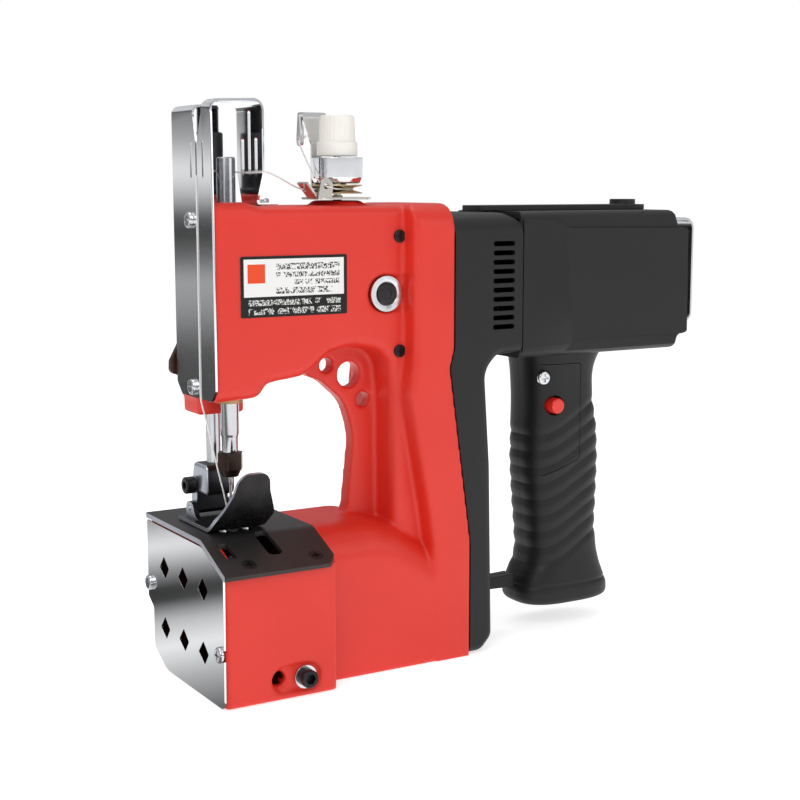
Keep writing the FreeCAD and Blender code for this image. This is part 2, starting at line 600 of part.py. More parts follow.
def tension_parts():
    """Nickel bracket, post, discs, chrome cup, ribbed knob and the tall thread guide."""
    spot = ("tension_across", "tension_back")
    bracket = slab("bracket_flat", "XY", [(50, -6, 2), (58, -10, 4), (80, -8, 6), (88, 2, 6), (86, 16, 6),
                                          (60, 17, 5), (50, 13, 2)], ("258", "259.2"))
    wing = slab("bracket_wing", "XZ", [(50.6, 258, 1.5), (43.6, 266.6), (44.5, 267.4), (51.2, 259.2, 1.2),
                                       (54, 259.2),
                                       (54, 258)], ("-6", "5"))
    ear = slab("bracket_ear", "XZ", [(50, 258.2), (58, 258.2), (59.4, 266, 2), (56, 270, 2.5),
                                     (52, 268.5, 2)],
               ("-7.2", "-6"))
    holes = [rod("bracket_hole", "Z", spot, ("257", "260"), "3"),
             rod("wing_hole", "X", ("2", "263.4"), ("42", "52"), "1.4"),
             rod("ear_hole", "Y", ("55", "265.2"), ("-8", "-5"), "1.6")]
    node("tension_bracket", cut("tension_bracket", fuse("bracket_solid", [bracket, wing, ear]), holes))
    node("tension_post", turned("tension_post", "Z", (*spot, "246"), [
        (0, 0), (2.4, 0), (2.4, 12), (2.9, 13.3), (2.9, 14.2), (2.0, 14.2), (2.0, 50), (0, 50)]))
    disc = [(2.2, 1.6), (6.5, 1.6), (13.3, 0), (13.6, 0.55), (6.6, 2.4), (2.2, 2.4)]
    node("tension_disc_lower", turned("tension_disc_lower", "Z", (*spot, "261.1"), disc))
    mirror = [(radius, 2.4 - high) for radius, high in disc]
    node("tension_disc_upper", turned("tension_disc_upper", "Z", (*spot, "263.55"), mirror))
    node("tension_spring_cup", turned("tension_spring_cup", "Z", (*spot, "266.5"), [
        (7, 0), (12.4, 0, 2), (13.9, 3, 2), (13.9, 13.9), (12.7, 13.9), (12.7, 3.2, 1), (11.8, 1.2),
        (7, 1.2)]))
    spring = helix(5.4, 0.5, 2.4, 14)
    spring.Placement = Placement(Vector(size("tension_across"), size("tension_back"), 266.0), Rotation())
    node("tension_spring", made("tension_spring", spring))
    knob = turned("knob_body", "Z", (*spot, "281.2"), [
        (2.05, 0), (10.8, 0), (11, 0.6), (11, 7), (10.6, 7.5), (9.9, 7.6), (9.3, 20.8), (8.4, 21.6),
        (0, 21.6),
        (0, 15.2), (2.05, 15.2)])
    flutes = []
    for index in range(30):
        angle = math.radians(12 * index)
        lean = Vector(math.cos(angle) * 10.5 + size("tension_across"),
                      math.sin(angle) * 10.5 + size("tension_back"), 289.4)
        flutes.append(Part.makeCylinder(0.75, 16, lean,
                                        Vector(-math.cos(angle) * 0.045, -math.sin(angle) * 0.045, 1)))
    cutter = made("knob_flutes", Part.makeCompound(flutes))
    node("tension_knob", cut("tension_knob", knob, [cutter]))
    tall = slab("tall_strip", "XZ", [(60, 259.4), (60, 288, 3), (55, 301), (55, 304.8), (70, 304.8, 2),
                                     (66.2, 286, 3), (66.2, 259.4)], ("19.2", "20.4"))
    tab = slab("tall_tab", "XY", [(60, 15), (66.2, 15), (66.2, 20.4), (60, 20.4)], ("259.4", "260.6"))
    fold = slab("tall_fold", "YZ", [(20.3, 304.8), (20.3, 292), (21, 286.6, 3), (27.2, 286.6, 3), (27.2, 292),
                                    (25.4, 304.8)], ("55", "56.2"))
    eye = rod("tall_eye", "X", ("24.1", "289.8"), ("54", "57"), "1.7")
    node("tall_thread_guide", cut("tall_thread_guide", fuse("tall_solid", [tall, tab, fold]), [eye]))


def frame_trim():
    """Label plate, shaft-end bush, column screws and the foot screw."""
    front = MID - size("arm_wide") / 2
    node("name_label", slab("name_label", "XZ", [(-0.6, 198, 0.8), (61.5, 198, 0.8), (61.5, 229.5, 0.8),
                                                 (-0.6, 229.5, 0.8)], (f"{front} - 0.45", f"{front} - 0.05")))
    node("arm_bush", turned("arm_bush", "Y", ("86", "-17.6", "207.5"), [
        (3.4, 0.4), (6.2, 0.4), (6.6, 0, 0.2), (9.65, 0), (9.65, 8.5), (3.4, 8.5)]))
    black = pan_screw(3.5, 1.4, 1.9, 6)
    screws = [aimed(black, (94.2, -17.1, high), (0, -1, 0)) for high in (238.4, 176)]
    back, grip = MID + size("housing_wide") / 2 + 0.05, MID + size("grip_wide") / 2 + 0.05
    for x, z in ((177, 240), (279, 184), (279, 234), (177, 180)):
        screws.append(aimed(black, (x, back, z), (0, 1, 0)))
    for x, z in ((218, 60), (218, 120)):
        screws.append(aimed(black, (x, grip, z), (0, 1, 0)))
    group("black_screws", screws)


# ---- black covers behind the frame ----

COVER = [(123.05, 248.5), (123.05, 177, 8), (120.05, 166, 8), (134.05, 67, 30), (134.05, 1), (143, 1, 8),
         (150.5, 9, 8),
         (148.3, 109), (144.5, 163, 14), (153, 171.5, 8), (168, 172), (168, 245), (160, 250.5, 8),
         (131, 250.5, 6)]


def cover_parts():
    """Belt cover with the vented motor flange, and the brace to the grip foot."""
    shell = slab_mid("cover_shell", COVER, "flange_wide")
    shell = rounded("cover_soft", shell, 5, lambda e: e.BoundBox.YLength < 0.01 and e.BoundBox.XMin > 142
                    and e.BoundBox.XMax < 155 and e.BoundBox.ZLength > 30)
    wide, top, turn = size("flange_wide") / 2, 250.5, size("shoulder")
    shell = common("cover_round", [shell, slab("cover_shoulders", "YZ", [
        (MID - wide, -1), (MID + wide, -1), (MID + wide, top, turn), (MID - wide, top, turn)],
                                               ("110", "180"))])
    wall = size("cover_wall")
    inner = slab_mid("cover_room", [
        (110, 246), (110, 168), (118, 168), (136, 66), (110, 60), (110, 8), (142, 8, 6), (147, 14, 6),
        (145, 109),
        (141, 166, 10), (152, 176, 6), (170, 176), (170, 246)], "flange_wide - 2*cover_wall")
    inner = common("cover_hollow", [inner, slab("room_shoulders", "YZ", [
        (MID - wide + wall, -1), (MID + wide - wall, -1), (MID + wide - wall, top - wall, turn - wall),
        (MID - wide + wall, top - wall, turn - wall)], ("100", "180"))])
    tools = [inner]
    for side, (low, high) in (("near", ("-31", "-24")), ("far", ("40", "47"))):
        for index in range(10):
            slot_low = 187.2 + 5.15 * index - 1.4
            tools.append(slab(f"vent_{side}_{index}", "XZ", [
                (148, slot_low, 1.35), (162.5, slot_low, 1.35), (162.5, slot_low + 2.8, 1.35),
                (148, slot_low + 2.8, 1.35)], (low, high)))
    node("belt_cover", cut("belt_cover", shell, tools))
    node("grip_brace", slab("grip_brace", "XZ", [
        (151.2, 25, 2), (160, 26.5, 3), (187, 25.5, 1), (187, 33.5, 1), (170, 33, 8), (151, 34.5, 1)],
        ("mid - 5", "mid + 5")))


def housing_solids():
    """Outer and inner solids of the motor box and grip."""
    low, high, right = size("housing_low"), size("housing_high"), size("housing_right")
    box = slab_mid("motor_box", [
        (168.05, low), (right - 9, low, 1.5), (right - 6.5, low + 8, 4), (right, low + 9.8, 1.5),
        (right - 1, high - 11.5, 1.5), (right - 8, high - 9.5, 4), (right - 11.5, high, 1.5), (168.05, high)],
        "housing_wide")
    step, wide = 1.4, size("housing_wide") / 2
    box = common("motor_box_soft", [box, slab("box_section", "YZ", [
        (MID - wide, low, 7), (MID + wide, low, 7), (MID + wide, high, 7), (MID - wide, high, 7)],
                                              ("160", "300"))])
    bands = []
    for side, span in (("near", (MID - wide - 2, MID - wide + step)),
                       ("far", (MID + wide - step, MID + wide + 2))):
        span = tuple(str(edge) for edge in span)
        bands.append(slab(f"band_top_{side}", "XZ", [
            (199, high - 9.5, 7), (300, high - 10.6), (300, high + 9), (186, high + 9)], span))
        bands.append(slab(f"band_low_{side}", "XZ", [
            (190, low - 8), (206, low + 9.8, 8), (300, low + 8.6), (300, low - 8)], span))
    seam = cut("seam_ring", block("seam_slice", ("167", "169.3"), ("mid - 40", "mid + 40"), ("160", "260")), [
        block("seam_core", ("166", "170"), ("mid - housing_wide/2 + 1.3", "mid + housing_wide/2 - 1.3"),
              ("housing_low + 1.3", "housing_high - 1.3"))])
    box = cut("motor_box_stepped", box, bands + [seam])
    left, edge, bottom = size("grip_left"), size("grip_right"), size("grip_low")
    bar = slab_mid("grip_bar", [
        (left - 1, 180), (left + 1, 130, 80), (left + 1, 90, 80), (left + 6, 40, 40), (left + 4.5, bottom),
        (edge + 2, bottom), (edge, 60, 60), (edge, 100, 60), (edge - 5, 138, 20), (edge - 3.5, 152, 20),
        (edge + 2, 180)], "grip_wide")
    bar = rounded("grip_soft", bar, 13, lambda e: e.BoundBox.YLength < 0.01 and e.BoundBox.ZLength > 3)
    foot = slab_mid("grip_foot_slab", [
        (left + 5, 40), (left - 4.5, 21), (left - 4.5, bottom), (edge + 9, bottom), (edge + 9, 21),
        (edge - 1, 40)], "grip_wide + 4")
    foot = rounded("grip_foot_soft", foot, 9, lambda e: e.BoundBox.YLength < 0.01 and e.BoundBox.ZLength > 2)
    grip = fuse("grip_solid", [bar, foot])
    return box, grip


def housing_parts():
    """Two clamshell halves of motor box and grip with what is screwed to them."""
    box, grip = housing_solids()
    outer = fuse("housing_outer", [box, grip])
    room = slab_mid("motor_room", [
        (160, 172), (277, 172, 2), (280.5, 180, 3), (287, 182, 3), (287, 235, 3), (279, 238, 3),
        (275, 247, 2),
        (160, 247)], "housing_wide - 7")
    hollow = slab_mid("grip_room", [(202, 180), (202, 60), (205, 46), (203, 20), (240, 20), (238, 50),
                                    (236, 130), (238, 180)],
                      "24")
    inlet = rod("inlet_hole", "Z", ("220", "mid"), ("10", "24"), "7")
    recess = rod("button_recess", "Y", ("button_across", "button_high"), ("mid - 21", "mid - 8.5"), "6.9")
    pocket = slab("panel_pocket", "XZ", [
        (188, 161.3), (223.9, 161.3, 2.6), (223.9, 102.9, 2.6), (188, 90.3)], ("mid - 21", "mid - 15.5"))
    shell = cut("housing_shell", outer, [room, hollow, inlet, recess, pocket])
    for side, (low, high) in (("near", ("-60", "mid")), ("far", ("mid", "80"))):
        half = doc.addObject("Part::MultiCommon", f"housing_{side}")
        half.Shapes = [shell, block(f"{side}_space", ("150", "320"), (low, high), ("0", "270"))]
        node(f"housing_{side}", half)
    panel = common("panel_solid", [grip, slab("panel_outline", "XZ", [
        (188, 161), (223.6, 161, 2.4), (223.6, 103.2, 2.4), (188, 90.7)], ("mid - 21", "mid - 15.6"))])
    node("switch_panel", cut("switch_panel", panel, [
        rod("panel_button_hole", "Y", ("button_across", "button_high"), ("mid - 22", "mid - 14"), "6.9"),
        rod("panel_counterbore", "Y", ("197.6", "153.4"), ("mid - 22", "mid - 17"), "5.2"),
        rod("panel_screw_hole", "Y", ("197.6", "153.4"), ("mid - 22", "mid - 14"), "2.1")]))
    button = turned("button_solid", "Y", ("button_across", "mid - 22.4", "button_high"), [
        (0, 0), (4.2, 0, 0.8), (4.7, 1), (4.7, 9), (5.8, 9), (5.8, 10.2), (0, 10.2)])
    node("switch_button", button)
    node("switch_body", block("switch_body", ("202.6", "218"), ("mid - 8", "mid + 8"), ("122", "150")))
    node("cord_inlet_bush", ring("cord_inlet_bush", "Z", ("220", "mid", "14.7"), 4.2, 6.95, 9))
    bar = slab("spool_bar", "XY", [(157, -2, 2), (278.5, -2, 2), (278.5, 18, 2), (157, 18, 2)],
               ("251.05", "254.2"))
    boss = rod("spool_boss", "Z", ("268.6", "mid"), ("251.05", "257.3"), "7.8")
    node("spool_arm", cut("spool_arm", fuse("spool_solid", [bar, boss]),
                          [rod("spool_hole", "Z", ("268.6", "mid"), ("250", "260"), "3")]))
    node("tail_bail", slab("tail_bail", "XZ", [
        (282.6, 244.6), (282.6, 246), (307.4, 246, 7), (307.4, 183, 6), (291.6, 180), (291.6, 181.5),
        (306, 184.2, 5),
        (306, 244.6, 5.5)], ("mid - 22", "mid + 22")))


# ---- drive train ----

def motor_parts():
    """Motor, fan, pinion, reduction layshaft and bearing plate."""
    axis = ("mid", "drive_high")
    module, pinion, wheel = size("gear_module"), int(size("pinion_teeth")), int(size("gear_teeth"))
    parts = []
    for low, high, outside, bore in ((192, 240, 31.5, 19.6), (184, 191.9, 28, 20.5), (240.1, 248, 28, 20.5)):
        outer = Part.makeCylinder(outside, high - low, Vector(low, MID, DRIVE), Vector(1, 0, 0))
        parts.append(outer.cut(Part.makeCylinder(bore, high - low, Vector(low, MID, DRIVE), Vector(1, 0, 0))))
    group("motor_stator_and_coils", parts)
    core = turned("motor_core", "X", ("127.4",) + axis, [
        (0, 0), (3, 0), (3, 20), (3.5, 20), (3.5, 65), (19.2, 65), (19.2, 112), (12, 112.5), (12, 125),
        (11, 126),
        (11, 141), (3.5, 141), (3.5, 150), (3, 150.5), (3, 156), (0, 156)])
    blades = [Part.makeCylinder(9, 12, Vector(165, MID, DRIVE), Vector(1, 0, 0)),
              Part.makeCylinder(30, 1.6, Vector(175.4, MID, DRIVE), Vector(1, 0, 0))]
    for index in range(14):
        blade = Part.makeBox(11, 1.4, 20, Vector(165, MID - 0.7, DRIVE + 8.5))
        blade.rotate(Vector(0, MID, DRIVE), Vector(1, 0, 0), index * 360 / 14)
        blades.append(blade)
    fan = blades[0].fuse(blades[1:]).cut(Part.makeCylinder(3.5, 20, Vector(160, MID, DRIVE), Vector(1, 0, 0)))
    node("cooling_fan", made("cooling_fan", fan.removeSplitter()))
    brushes = [block(f"brush_{side}", ("256", "264"), (low, high), ("drive_high - 5", "drive_high + 5"))
               for side, low, high in (("near", "mid - 27", "mid - 11.3"), ("far", "mid + 11.3", "mid + 27"))]
    doc.recompute()
    group("carbon_brushes", [brush.Shape for brush in brushes])
    plate = block("gear_plate_solid", ("148", "151"), ("mid - 32", "mid + 32"), ("179", "240"))
    neck = rod("gear_plate_neck", "X", axis, ("148", "162"), "12")
    node("gear_plate", cut("gear_plate", fuse("gear_plate_full", [plate, neck]), [
        rod("neck_bore", "X", axis, ("153.9", "163"), "9.05"),
        rod("neck_shaft_hole", "X", axis, ("147", "155"), "5"),
        rod("lay_bore", "X", ("mid", "layshaft_high"), ("147", "150"), "3 + running_gap")]))

    small = gear(pinion, module, 9, 2.9, math.radians(15))
    small.Placement = Placement(Vector(137.5, MID, DRIVE), Rotation())
    node("motor_armature", fuse("motor_armature", [core, made("motor_pinion", small)]))
    wheel_shape = gear(wheel, module, 8, 2.9, 0)
    wheel_shape.Placement = Placement(Vector(138, MID, LAY), Rotation())
    second = gear(pinion, module, 9, 2.9, math.radians(15))
    second.Placement = Placement(Vector(127.5, MID, LAY), Rotation())
    spindle = rod("layshaft_spindle", "X", ("mid", "layshaft_high"), ("124", "149.6"), "3")
    node("reduction_layshaft", fuse("reduction_layshaft", [
        spindle, made("layshaft_wheel", wheel_shape), made("layshaft_pinion", second)]))


def shaft_parts():
    """Upper and lower shafts, pulleys, belt, crank, looper and feed dog."""
    gap = size("running_gap")
    axis = ("mid", "drive_high")
    radius = size("shaft_radius")
    throw = size("crank_throw")
    tip_y = MID - math.sqrt(throw ** 2 - 9)
    disc = rod("crank_wheel", "X", axis, ("14.1", "20.1"), "17.5")
    pin = rod("crank_pin", "X", (f"{tip_y}", "drive_high + 3"), ("12.7", "15"), "2.95")
    shaft = rod("upper_spindle", "X", axis, ("20", "126.4"), "shaft_radius")
    node("upper_crankshaft", fuse("upper_crankshaft", [disc, pin, shaft]))
    profile = [(5, 0), (15.5, 0), (15.5, 1.2), (13.5, 1.2), (13.5, 10.2), (15.5, 10.2), (15.5, 11.4),
               (5, 11.4)]
    wheel = gear(int(size("gear_teeth")), size("gear_module"), 10, 5, 0)
    wheel.Placement = Placement(Vector(116.4, MID, DRIVE), Rotation())
    pulley = turned("upper_pulley", "X", ("105",) + axis, profile)
    node("upper_gear_pulley", fuse("upper_gear_pulley", [pulley, made("upper_gear", wheel)]))
    low_axis = ("mid", "lower_high")
    lower = rod("lower_spindle", "X", low_axis, ("12", "118"), "shaft_radius")
    eccentric = turned("lower_eccentric", "X", ("12.2",) + low_axis, [
        (4.9, 0), (9, 0), (9, 6), (11, 6), (11, 12), (4.9, 12)])
    low_pulley = turned("lower_pulley", "X", ("105",) + low_axis, profile)
    node("lower_shaft", fuse("lower_shaft", [lower, eccentric, low_pulley]))
    loops = []
    for outside in (15.2, 13.6):
        ends = [Part.makeCylinder(outside, 8.4, Vector(106.4, MID, z), Vector(1, 0, 0)) for z in (LOWER,
                                                                                                  DRIVE)]
        middle = Part.makeBox(8.4, 2 * outside, DRIVE - LOWER, Vector(106.4, MID - outside, LOWER))
        loops.append(middle.fuse(ends).removeSplitter())
    node("timing_belt", made("timing_belt", loops[0].cut(loops[1]).removeSplitter()))
    bushes = []
    for low, wide, high, out in ((30, 8, DRIVE, 14.9), (92, 8, DRIVE, 14.9), (36, 8, LOWER, 13.9),
                                 (92, 8, LOWER, 13.9)):
        outer = Part.makeCylinder(out, wide, Vector(low, MID, high), Vector(1, 0, 0))
        bushes.append(outer.cut(Part.makeCylinder(radius + gap, wide, Vector(low, MID, high),
                                                  Vector(1, 0, 0))))
    for low, wide, bore in ((154, 6, 3.5), (278, 5, 3)):
        outer = Part.makeCylinder(9, wide, Vector(low, MID, DRIVE), Vector(1, 0, 0))
        bushes.append(outer.cut(Part.makeCylinder(bore + gap, wide, Vector(low, MID, DRIVE),
                                                  Vector(1, 0, 0))))
    group("shaft_bearings", bushes)
    arm = slab("looper_arm", "YZ", [(12, 22.5, 5), (24, 22.5, 5), (22, 58, 10), (5, 68.8, 3), (-6, 69.8),
                                    (-6, 68.4),
                                    (4, 64, 3), (14, 54, 12)], ("1.6", "4.4"))
    hub = rod("looper_hub", "X", ("18", "28"), ("-2", "8"), "5")
    node("looper", cut("looper", fuse("looper_solid", [arm, hub]),
                       [rod("looper_bore", "X", ("18", "28"), ("-3", "9"), "3 + running_gap")]))
    node("looper_pivot", rod("looper_pivot", "X", ("18", "28"), ("-12", "33"), "3"))
    bar = block("feed_bar", ("-9", "9"), ("14", "22"), ("74", "77.5"))
    rails = [block(f"feed_rail_{side}", (low, high), ("-4", "20"), ("74", "83.8"))
             for side, low, high in (("near", "-8.2", "-4.8"), ("far", "4.8", "8.2"))]
    teeth = []
    for side, low, high in (("near", "-8.2", "-4.8"), ("far", "4.8", "8.2")):
        points = [(-4, 83)]
        for k in range(12):
            points += [(-4 + 2 * k + 0.2, 85.0), (-4 + 2 * k + 1.9, 83.8)]
        points += [(20, 83)]
        teeth.append(slab(f"feed_teeth_{side}", "YZ", points, (low, high)))
    node("feed_dog", fuse("feed_dog", [bar] + rails + teeth))



main_casting()
base_parts()
face_parts()
bar_parts()
tension_parts()
frame_trim()
cover_parts()
housing_parts()
motor_parts()
shaft_parts()
doc.recompute()

faults = [obj.Name for obj in doc.Objects if {"Invalid", "Error"} & set(obj.State)]
faults += [name for name,
           obj in NODES.items() if obj.Shape.isNull() or not obj.Shape.isValid() or not obj.Shape.Solids]
if faults:
    raise SystemExit("failed: " + ", ".join(faults))
os.makedirs("parts", exist_ok=True)
for name, obj in NODES.items():
    obj.Shape.exportStep(f"parts/{name}.step")
    box = obj.Shape.BoundBox
    print(f"{name:22s} n={len(obj.Shape.Solids)} V={obj.Shape.Volume:9.0f} "
          f"x {box.XMin:.1f}..{box.XMax:.1f} y {box.YMin:.1f}..{box.YMax:.1f} z {box.ZMin:.1f}..{box.ZMax:.1f}")
print(len(NODES), "nodes")
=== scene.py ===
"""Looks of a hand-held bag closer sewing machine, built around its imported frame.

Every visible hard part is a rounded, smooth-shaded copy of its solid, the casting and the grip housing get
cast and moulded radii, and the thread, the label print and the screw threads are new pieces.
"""

import json
import logging
import math
from dataclasses import dataclass
from enum import Enum
from typing import Callable, Optional, Sequence, Union

import bmesh
import bpy
from mathutils import Matrix, Vector


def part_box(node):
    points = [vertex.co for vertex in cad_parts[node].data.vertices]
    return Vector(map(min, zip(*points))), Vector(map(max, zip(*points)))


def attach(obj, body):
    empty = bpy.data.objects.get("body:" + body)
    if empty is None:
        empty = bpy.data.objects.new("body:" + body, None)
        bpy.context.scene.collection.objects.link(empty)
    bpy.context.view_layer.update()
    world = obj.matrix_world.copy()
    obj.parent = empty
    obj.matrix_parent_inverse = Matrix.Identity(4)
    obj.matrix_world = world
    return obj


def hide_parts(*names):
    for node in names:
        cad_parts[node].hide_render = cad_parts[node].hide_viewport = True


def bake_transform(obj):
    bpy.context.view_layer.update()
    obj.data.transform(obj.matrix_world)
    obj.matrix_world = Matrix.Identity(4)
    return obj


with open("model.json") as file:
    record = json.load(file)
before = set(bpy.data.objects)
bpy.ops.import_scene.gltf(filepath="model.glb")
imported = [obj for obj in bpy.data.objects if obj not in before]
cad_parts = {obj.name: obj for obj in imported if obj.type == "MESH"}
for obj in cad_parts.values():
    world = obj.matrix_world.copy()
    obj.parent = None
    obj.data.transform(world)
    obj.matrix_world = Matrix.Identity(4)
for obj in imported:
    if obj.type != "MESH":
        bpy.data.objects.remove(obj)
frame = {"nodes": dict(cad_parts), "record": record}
RECORD = frame["record"]
MM = 0.001
LOG = logging.getLogger("bag_closer")

Number = Union[int, float]
Colour = tuple[float, float, float]
Point = tuple[float, float, float]
FaceTest = Callable[[Vector, Vector], bool]

BODY_OF = {node: body for body, nodes in RECORD["behaviour"]["bodies"].items() for node in nodes}
SLOT_OF = {row["node"]: row["material_slot"] for row in RECORD["subparts"]}


# ---- shader maths ----

class Link:
    """One output socket; arithmetic on it adds Math nodes to its graph."""

    def __init__(self, graph: "Graph", socket: bpy.types.NodeSocket) -> None:
        """Keep the socket and the graph it belongs to."""
        self.graph = graph
        self.socket = socket

    def _math(self, operation: str, *terms: Union["Link", Number]) -> "Link":
        """Add one Math node.

        Args:
            operation: the node's operation.
            terms: links or numbers for its inputs in order.

        Returns:
            The node's result.
        """
        return self.graph.add("ShaderNodeMath", {"operation": operation}, dict(enumerate(terms)))

    def __add__(self, other: Union["Link", Number]) -> "Link":
        """Sum."""
        return self._math("ADD", self, other)

    __radd__ = __add__

    def __sub__(self, other: Union["Link", Number]) -> "Link":
        """Difference."""
        return self._math("SUBTRACT", self, other)

    def __rsub__(self, other: Number) -> "Link":
        """Difference from a number."""
        return self._math("SUBTRACT", other, self)

    def __mul__(self, other: Union["Link", Number]) -> "Link":
        """Product."""
        return self._math("MULTIPLY", self, other)

    __rmul__ = __mul__

    def __truediv__(self, other: Union["Link", Number]) -> "Link":
        """Quotient."""
        return self._math("DIVIDE", self, other)

    def __gt__(self, other: Union["Link", Number]) -> "Link":
        """One where greater, else zero."""
        return self._math("GREATER_THAN", self, other)

    def __lt__(self, other: Union["Link", Number]) -> "Link":
        """One where less, else zero."""
        return self._math("LESS_THAN", self, other)

    def sine(self) -> "Link":
        """Sine of an angle in radians."""
        return self._math("SINE", self)


class Graph:
    """Node tree of one material or world."""

    def __init__(self, owner: Union[bpy.types.Material, bpy.types.World]) -> None:
        """Start an empty tree on its owner."""
        owner.use_nodes = True
        self.tree = owner.node_tree
        self.tree.nodes.clear()

    def node(self, kind: str, settings: dict, inputs: dict) -> bpy.types.Node:
        """Add a node, its settings before its sockets.

        Args:
            kind: node type.
            settings: attributes of the node; "stops" fills a colour ramp.
            inputs: values or links by socket name or number.

        Returns:
            The node.
        """
        made = self.tree.nodes.new(kind)
        for key, value in settings.items():
            if key == "stops":
                ramp = made.color_ramp
                while len(ramp.elements) < len(value):
                    ramp.elements.new(0.5)
                for element, (place, shade) in zip(ramp.elements, value):
                    element.position = place
                    element.color = (*shade, 1.0)
            else:
                setattr(made, key, value)
        for key, value in inputs.items():
            if isinstance(value, Link):
                self.tree.links.new(value.socket, made.inputs[key])
            elif isinstance(value, tuple) and len(value) == 3 and made.inputs[key].type == "RGBA":
                made.inputs[key].default_value = (*value, 1.0)
            else:
                made.inputs[key].default_value = value
        return made

    def add(self, kind: str, settings: dict, inputs: dict, out: Union[int, str] = 0) -> Link:
        """Add a node and return one of its outputs as a link."""
        return Link(self, self.node(kind, settings, inputs).outputs[out])

    def place(self) -> Link:
        """Object coordinates in metres."""
        return self.add("ShaderNodeTexCoord", {}, {}, "Object")

    def axes(self, vector: Optional[Link] = None) -> tuple[Link, Link, Link]:
        """The three coordinates of a vector, object coordinates by default."""
        split = self.node("ShaderNodeSeparateXYZ", {}, {0: vector or self.place()})
        return tuple(Link(self, socket) for socket in split.outputs)

    def noise(self, per_metre: float, detail: float = 2.0, stretch: Point = (1, 1, 1), rough: float = 0.5) -> Link:
        """Noise from 0 to 1 in object space.

        Args:
            per_metre: features along a metre.
            detail: octaves.
            stretch: multiplies the three axes, for a grain direction.
            rough: strength of the finer octaves.

        Returns:
            The noise value.
        """
        spread = self.add("ShaderNodeMapping", {"vector_type": "POINT"}, {"Vector": self.place(), "Scale": stretch})
        return self.add("ShaderNodeTexNoise", {}, {
            "Vector": spread, "Scale": per_metre, "Detail": detail, "Roughness": rough}, "Fac")

    def blend(self, share: Union[Link, Number], low: Union[Link, Colour], high: Union[Link, Colour]) -> Link:
        """Mix of two colours by a share from 0 to 1."""
        return self.add("ShaderNodeMix", {"data_type": "RGBA", "clamp_factor": True}, {0: share, 6: low, 7: high}, 2)

    def bump(self, height: Link, strength: float, depth: float, under: Optional[Link] = None) -> Link:
        """Normal bent by a height, depth in metres."""
        inputs = {"Height": height, "Strength": strength, "Distance": depth}
        if under is not None:
            inputs["Normal"] = under
        return self.add("ShaderNodeBump", {}, inputs, "Normal")

    def surface(self, inputs: dict) -> None:
        """Close the tree with a Principled shader."""
        shader = self.add("ShaderNodeBsdfPrincipled", {}, inputs, "BSDF")
        self.node("ShaderNodeOutputMaterial", {}, {"Surface": shader})


# ---- finishes ----

@dataclass(frozen=True)
class Finish:
    """A surface finish that makes its material once."""

    name: str

    def material(self) -> bpy.types.Material:
        """Return the finish's material, made at its first use."""
        ready = bpy.data.materials.get(self.name)
        if ready is None:
            ready = bpy.data.materials.new(self.name)
            self.build(Graph(ready))
        return ready

    def build(self, graph: Graph) -> None:
        """Fill the node tree."""
        raise NotImplementedError


@dataclass(frozen=True)
class PowderCoat(Finish):
    """Sprayed satin coat with fine orange peel over a casting."""

    colour: Colour = (0.73, 0.030, 0.016)
    shade: Colour = (0.62, 0.020, 0.010)
    gloss: float = 0.36

    def build(self, graph: Graph) -> None:
        """Two reds in soft clouds, peel and a fine sparkle in the normal."""
        clouds = graph.noise(26, 3)
        speck = graph.noise(1500, 2)
        peel = graph.noise(420, 3)
        colour = graph.blend((clouds - 0.3) * 0.8 + (speck - 0.5) * 0.35, self.colour, self.shade)
        rough = self.gloss + clouds * 0.08 + speck * 0.08
        normal = graph.bump(peel, 0.16, 0.25 * MM)
        normal = graph.bump(speck, 0.16, 0.10 * MM, normal)
        graph.surface({"Base Color": colour, "Roughness": rough, "Normal": normal,
                       "Specular IOR Level": 0.42, "Coat Weight": 0.12, "Coat Roughness": 0.22})


@dataclass(frozen=True)
class Moulded(Finish):
    """Injection moulding with an eroded grain."""

    colour: Colour = (0.0055, 0.0055, 0.0062)
    worn: Colour = (0.0125, 0.0125, 0.0135)
    gloss: float = 0.40
    grain: float = 0.30
    per_metre: float = 1300.0

    def build(self, graph: Graph) -> None:
        """Grain in the normal and slow drift in colour and gloss."""
        drift = graph.noise(20, 3)
        grain = graph.noise(self.per_metre, 3, rough=0.6)
        colour = graph.blend(drift * 0.6 + grain * 0.4, self.colour, self.worn)
        rough = self.gloss + drift * 0.10 + grain * 0.06
        graph.surface({"Base Color": colour, "Roughness": rough, "Normal": graph.bump(grain, self.grain, 0.12 * MM),
                       "Specular IOR Level": 0.36})


@dataclass(frozen=True)
class Plated(Finish):
    """Bright plating, with faint polishing waves."""

    colour: Colour = (0.80, 0.81, 0.83)
    gloss: float = 0.05
    wave: float = 0.05

    def build(self, graph: Graph) -> None:
        """Smudges in the gloss and a slight wave in the normal."""
        smudge = graph.noise(60, 4, rough=0.6)
        fine = graph.noise(700, 2)
        colour = graph.blend(smudge, tuple(0.93 * part for part in self.colour), self.colour)
        rough = self.gloss + smudge * 0.05 + fine * 0.02
        graph.surface({"Base Color": colour, "Metallic": 1.0, "Roughness": rough,
                       "Normal": graph.bump(graph.noise(45, 2), self.wave, 0.4 * MM)})


class Grain(Enum):
    """Direction in which a ground surface shows its lines."""

    ALONG_X = (1, 12, 12)
    ALONG_Y = (12, 1, 12)
    ROUND_Z = (1, 1, 14)


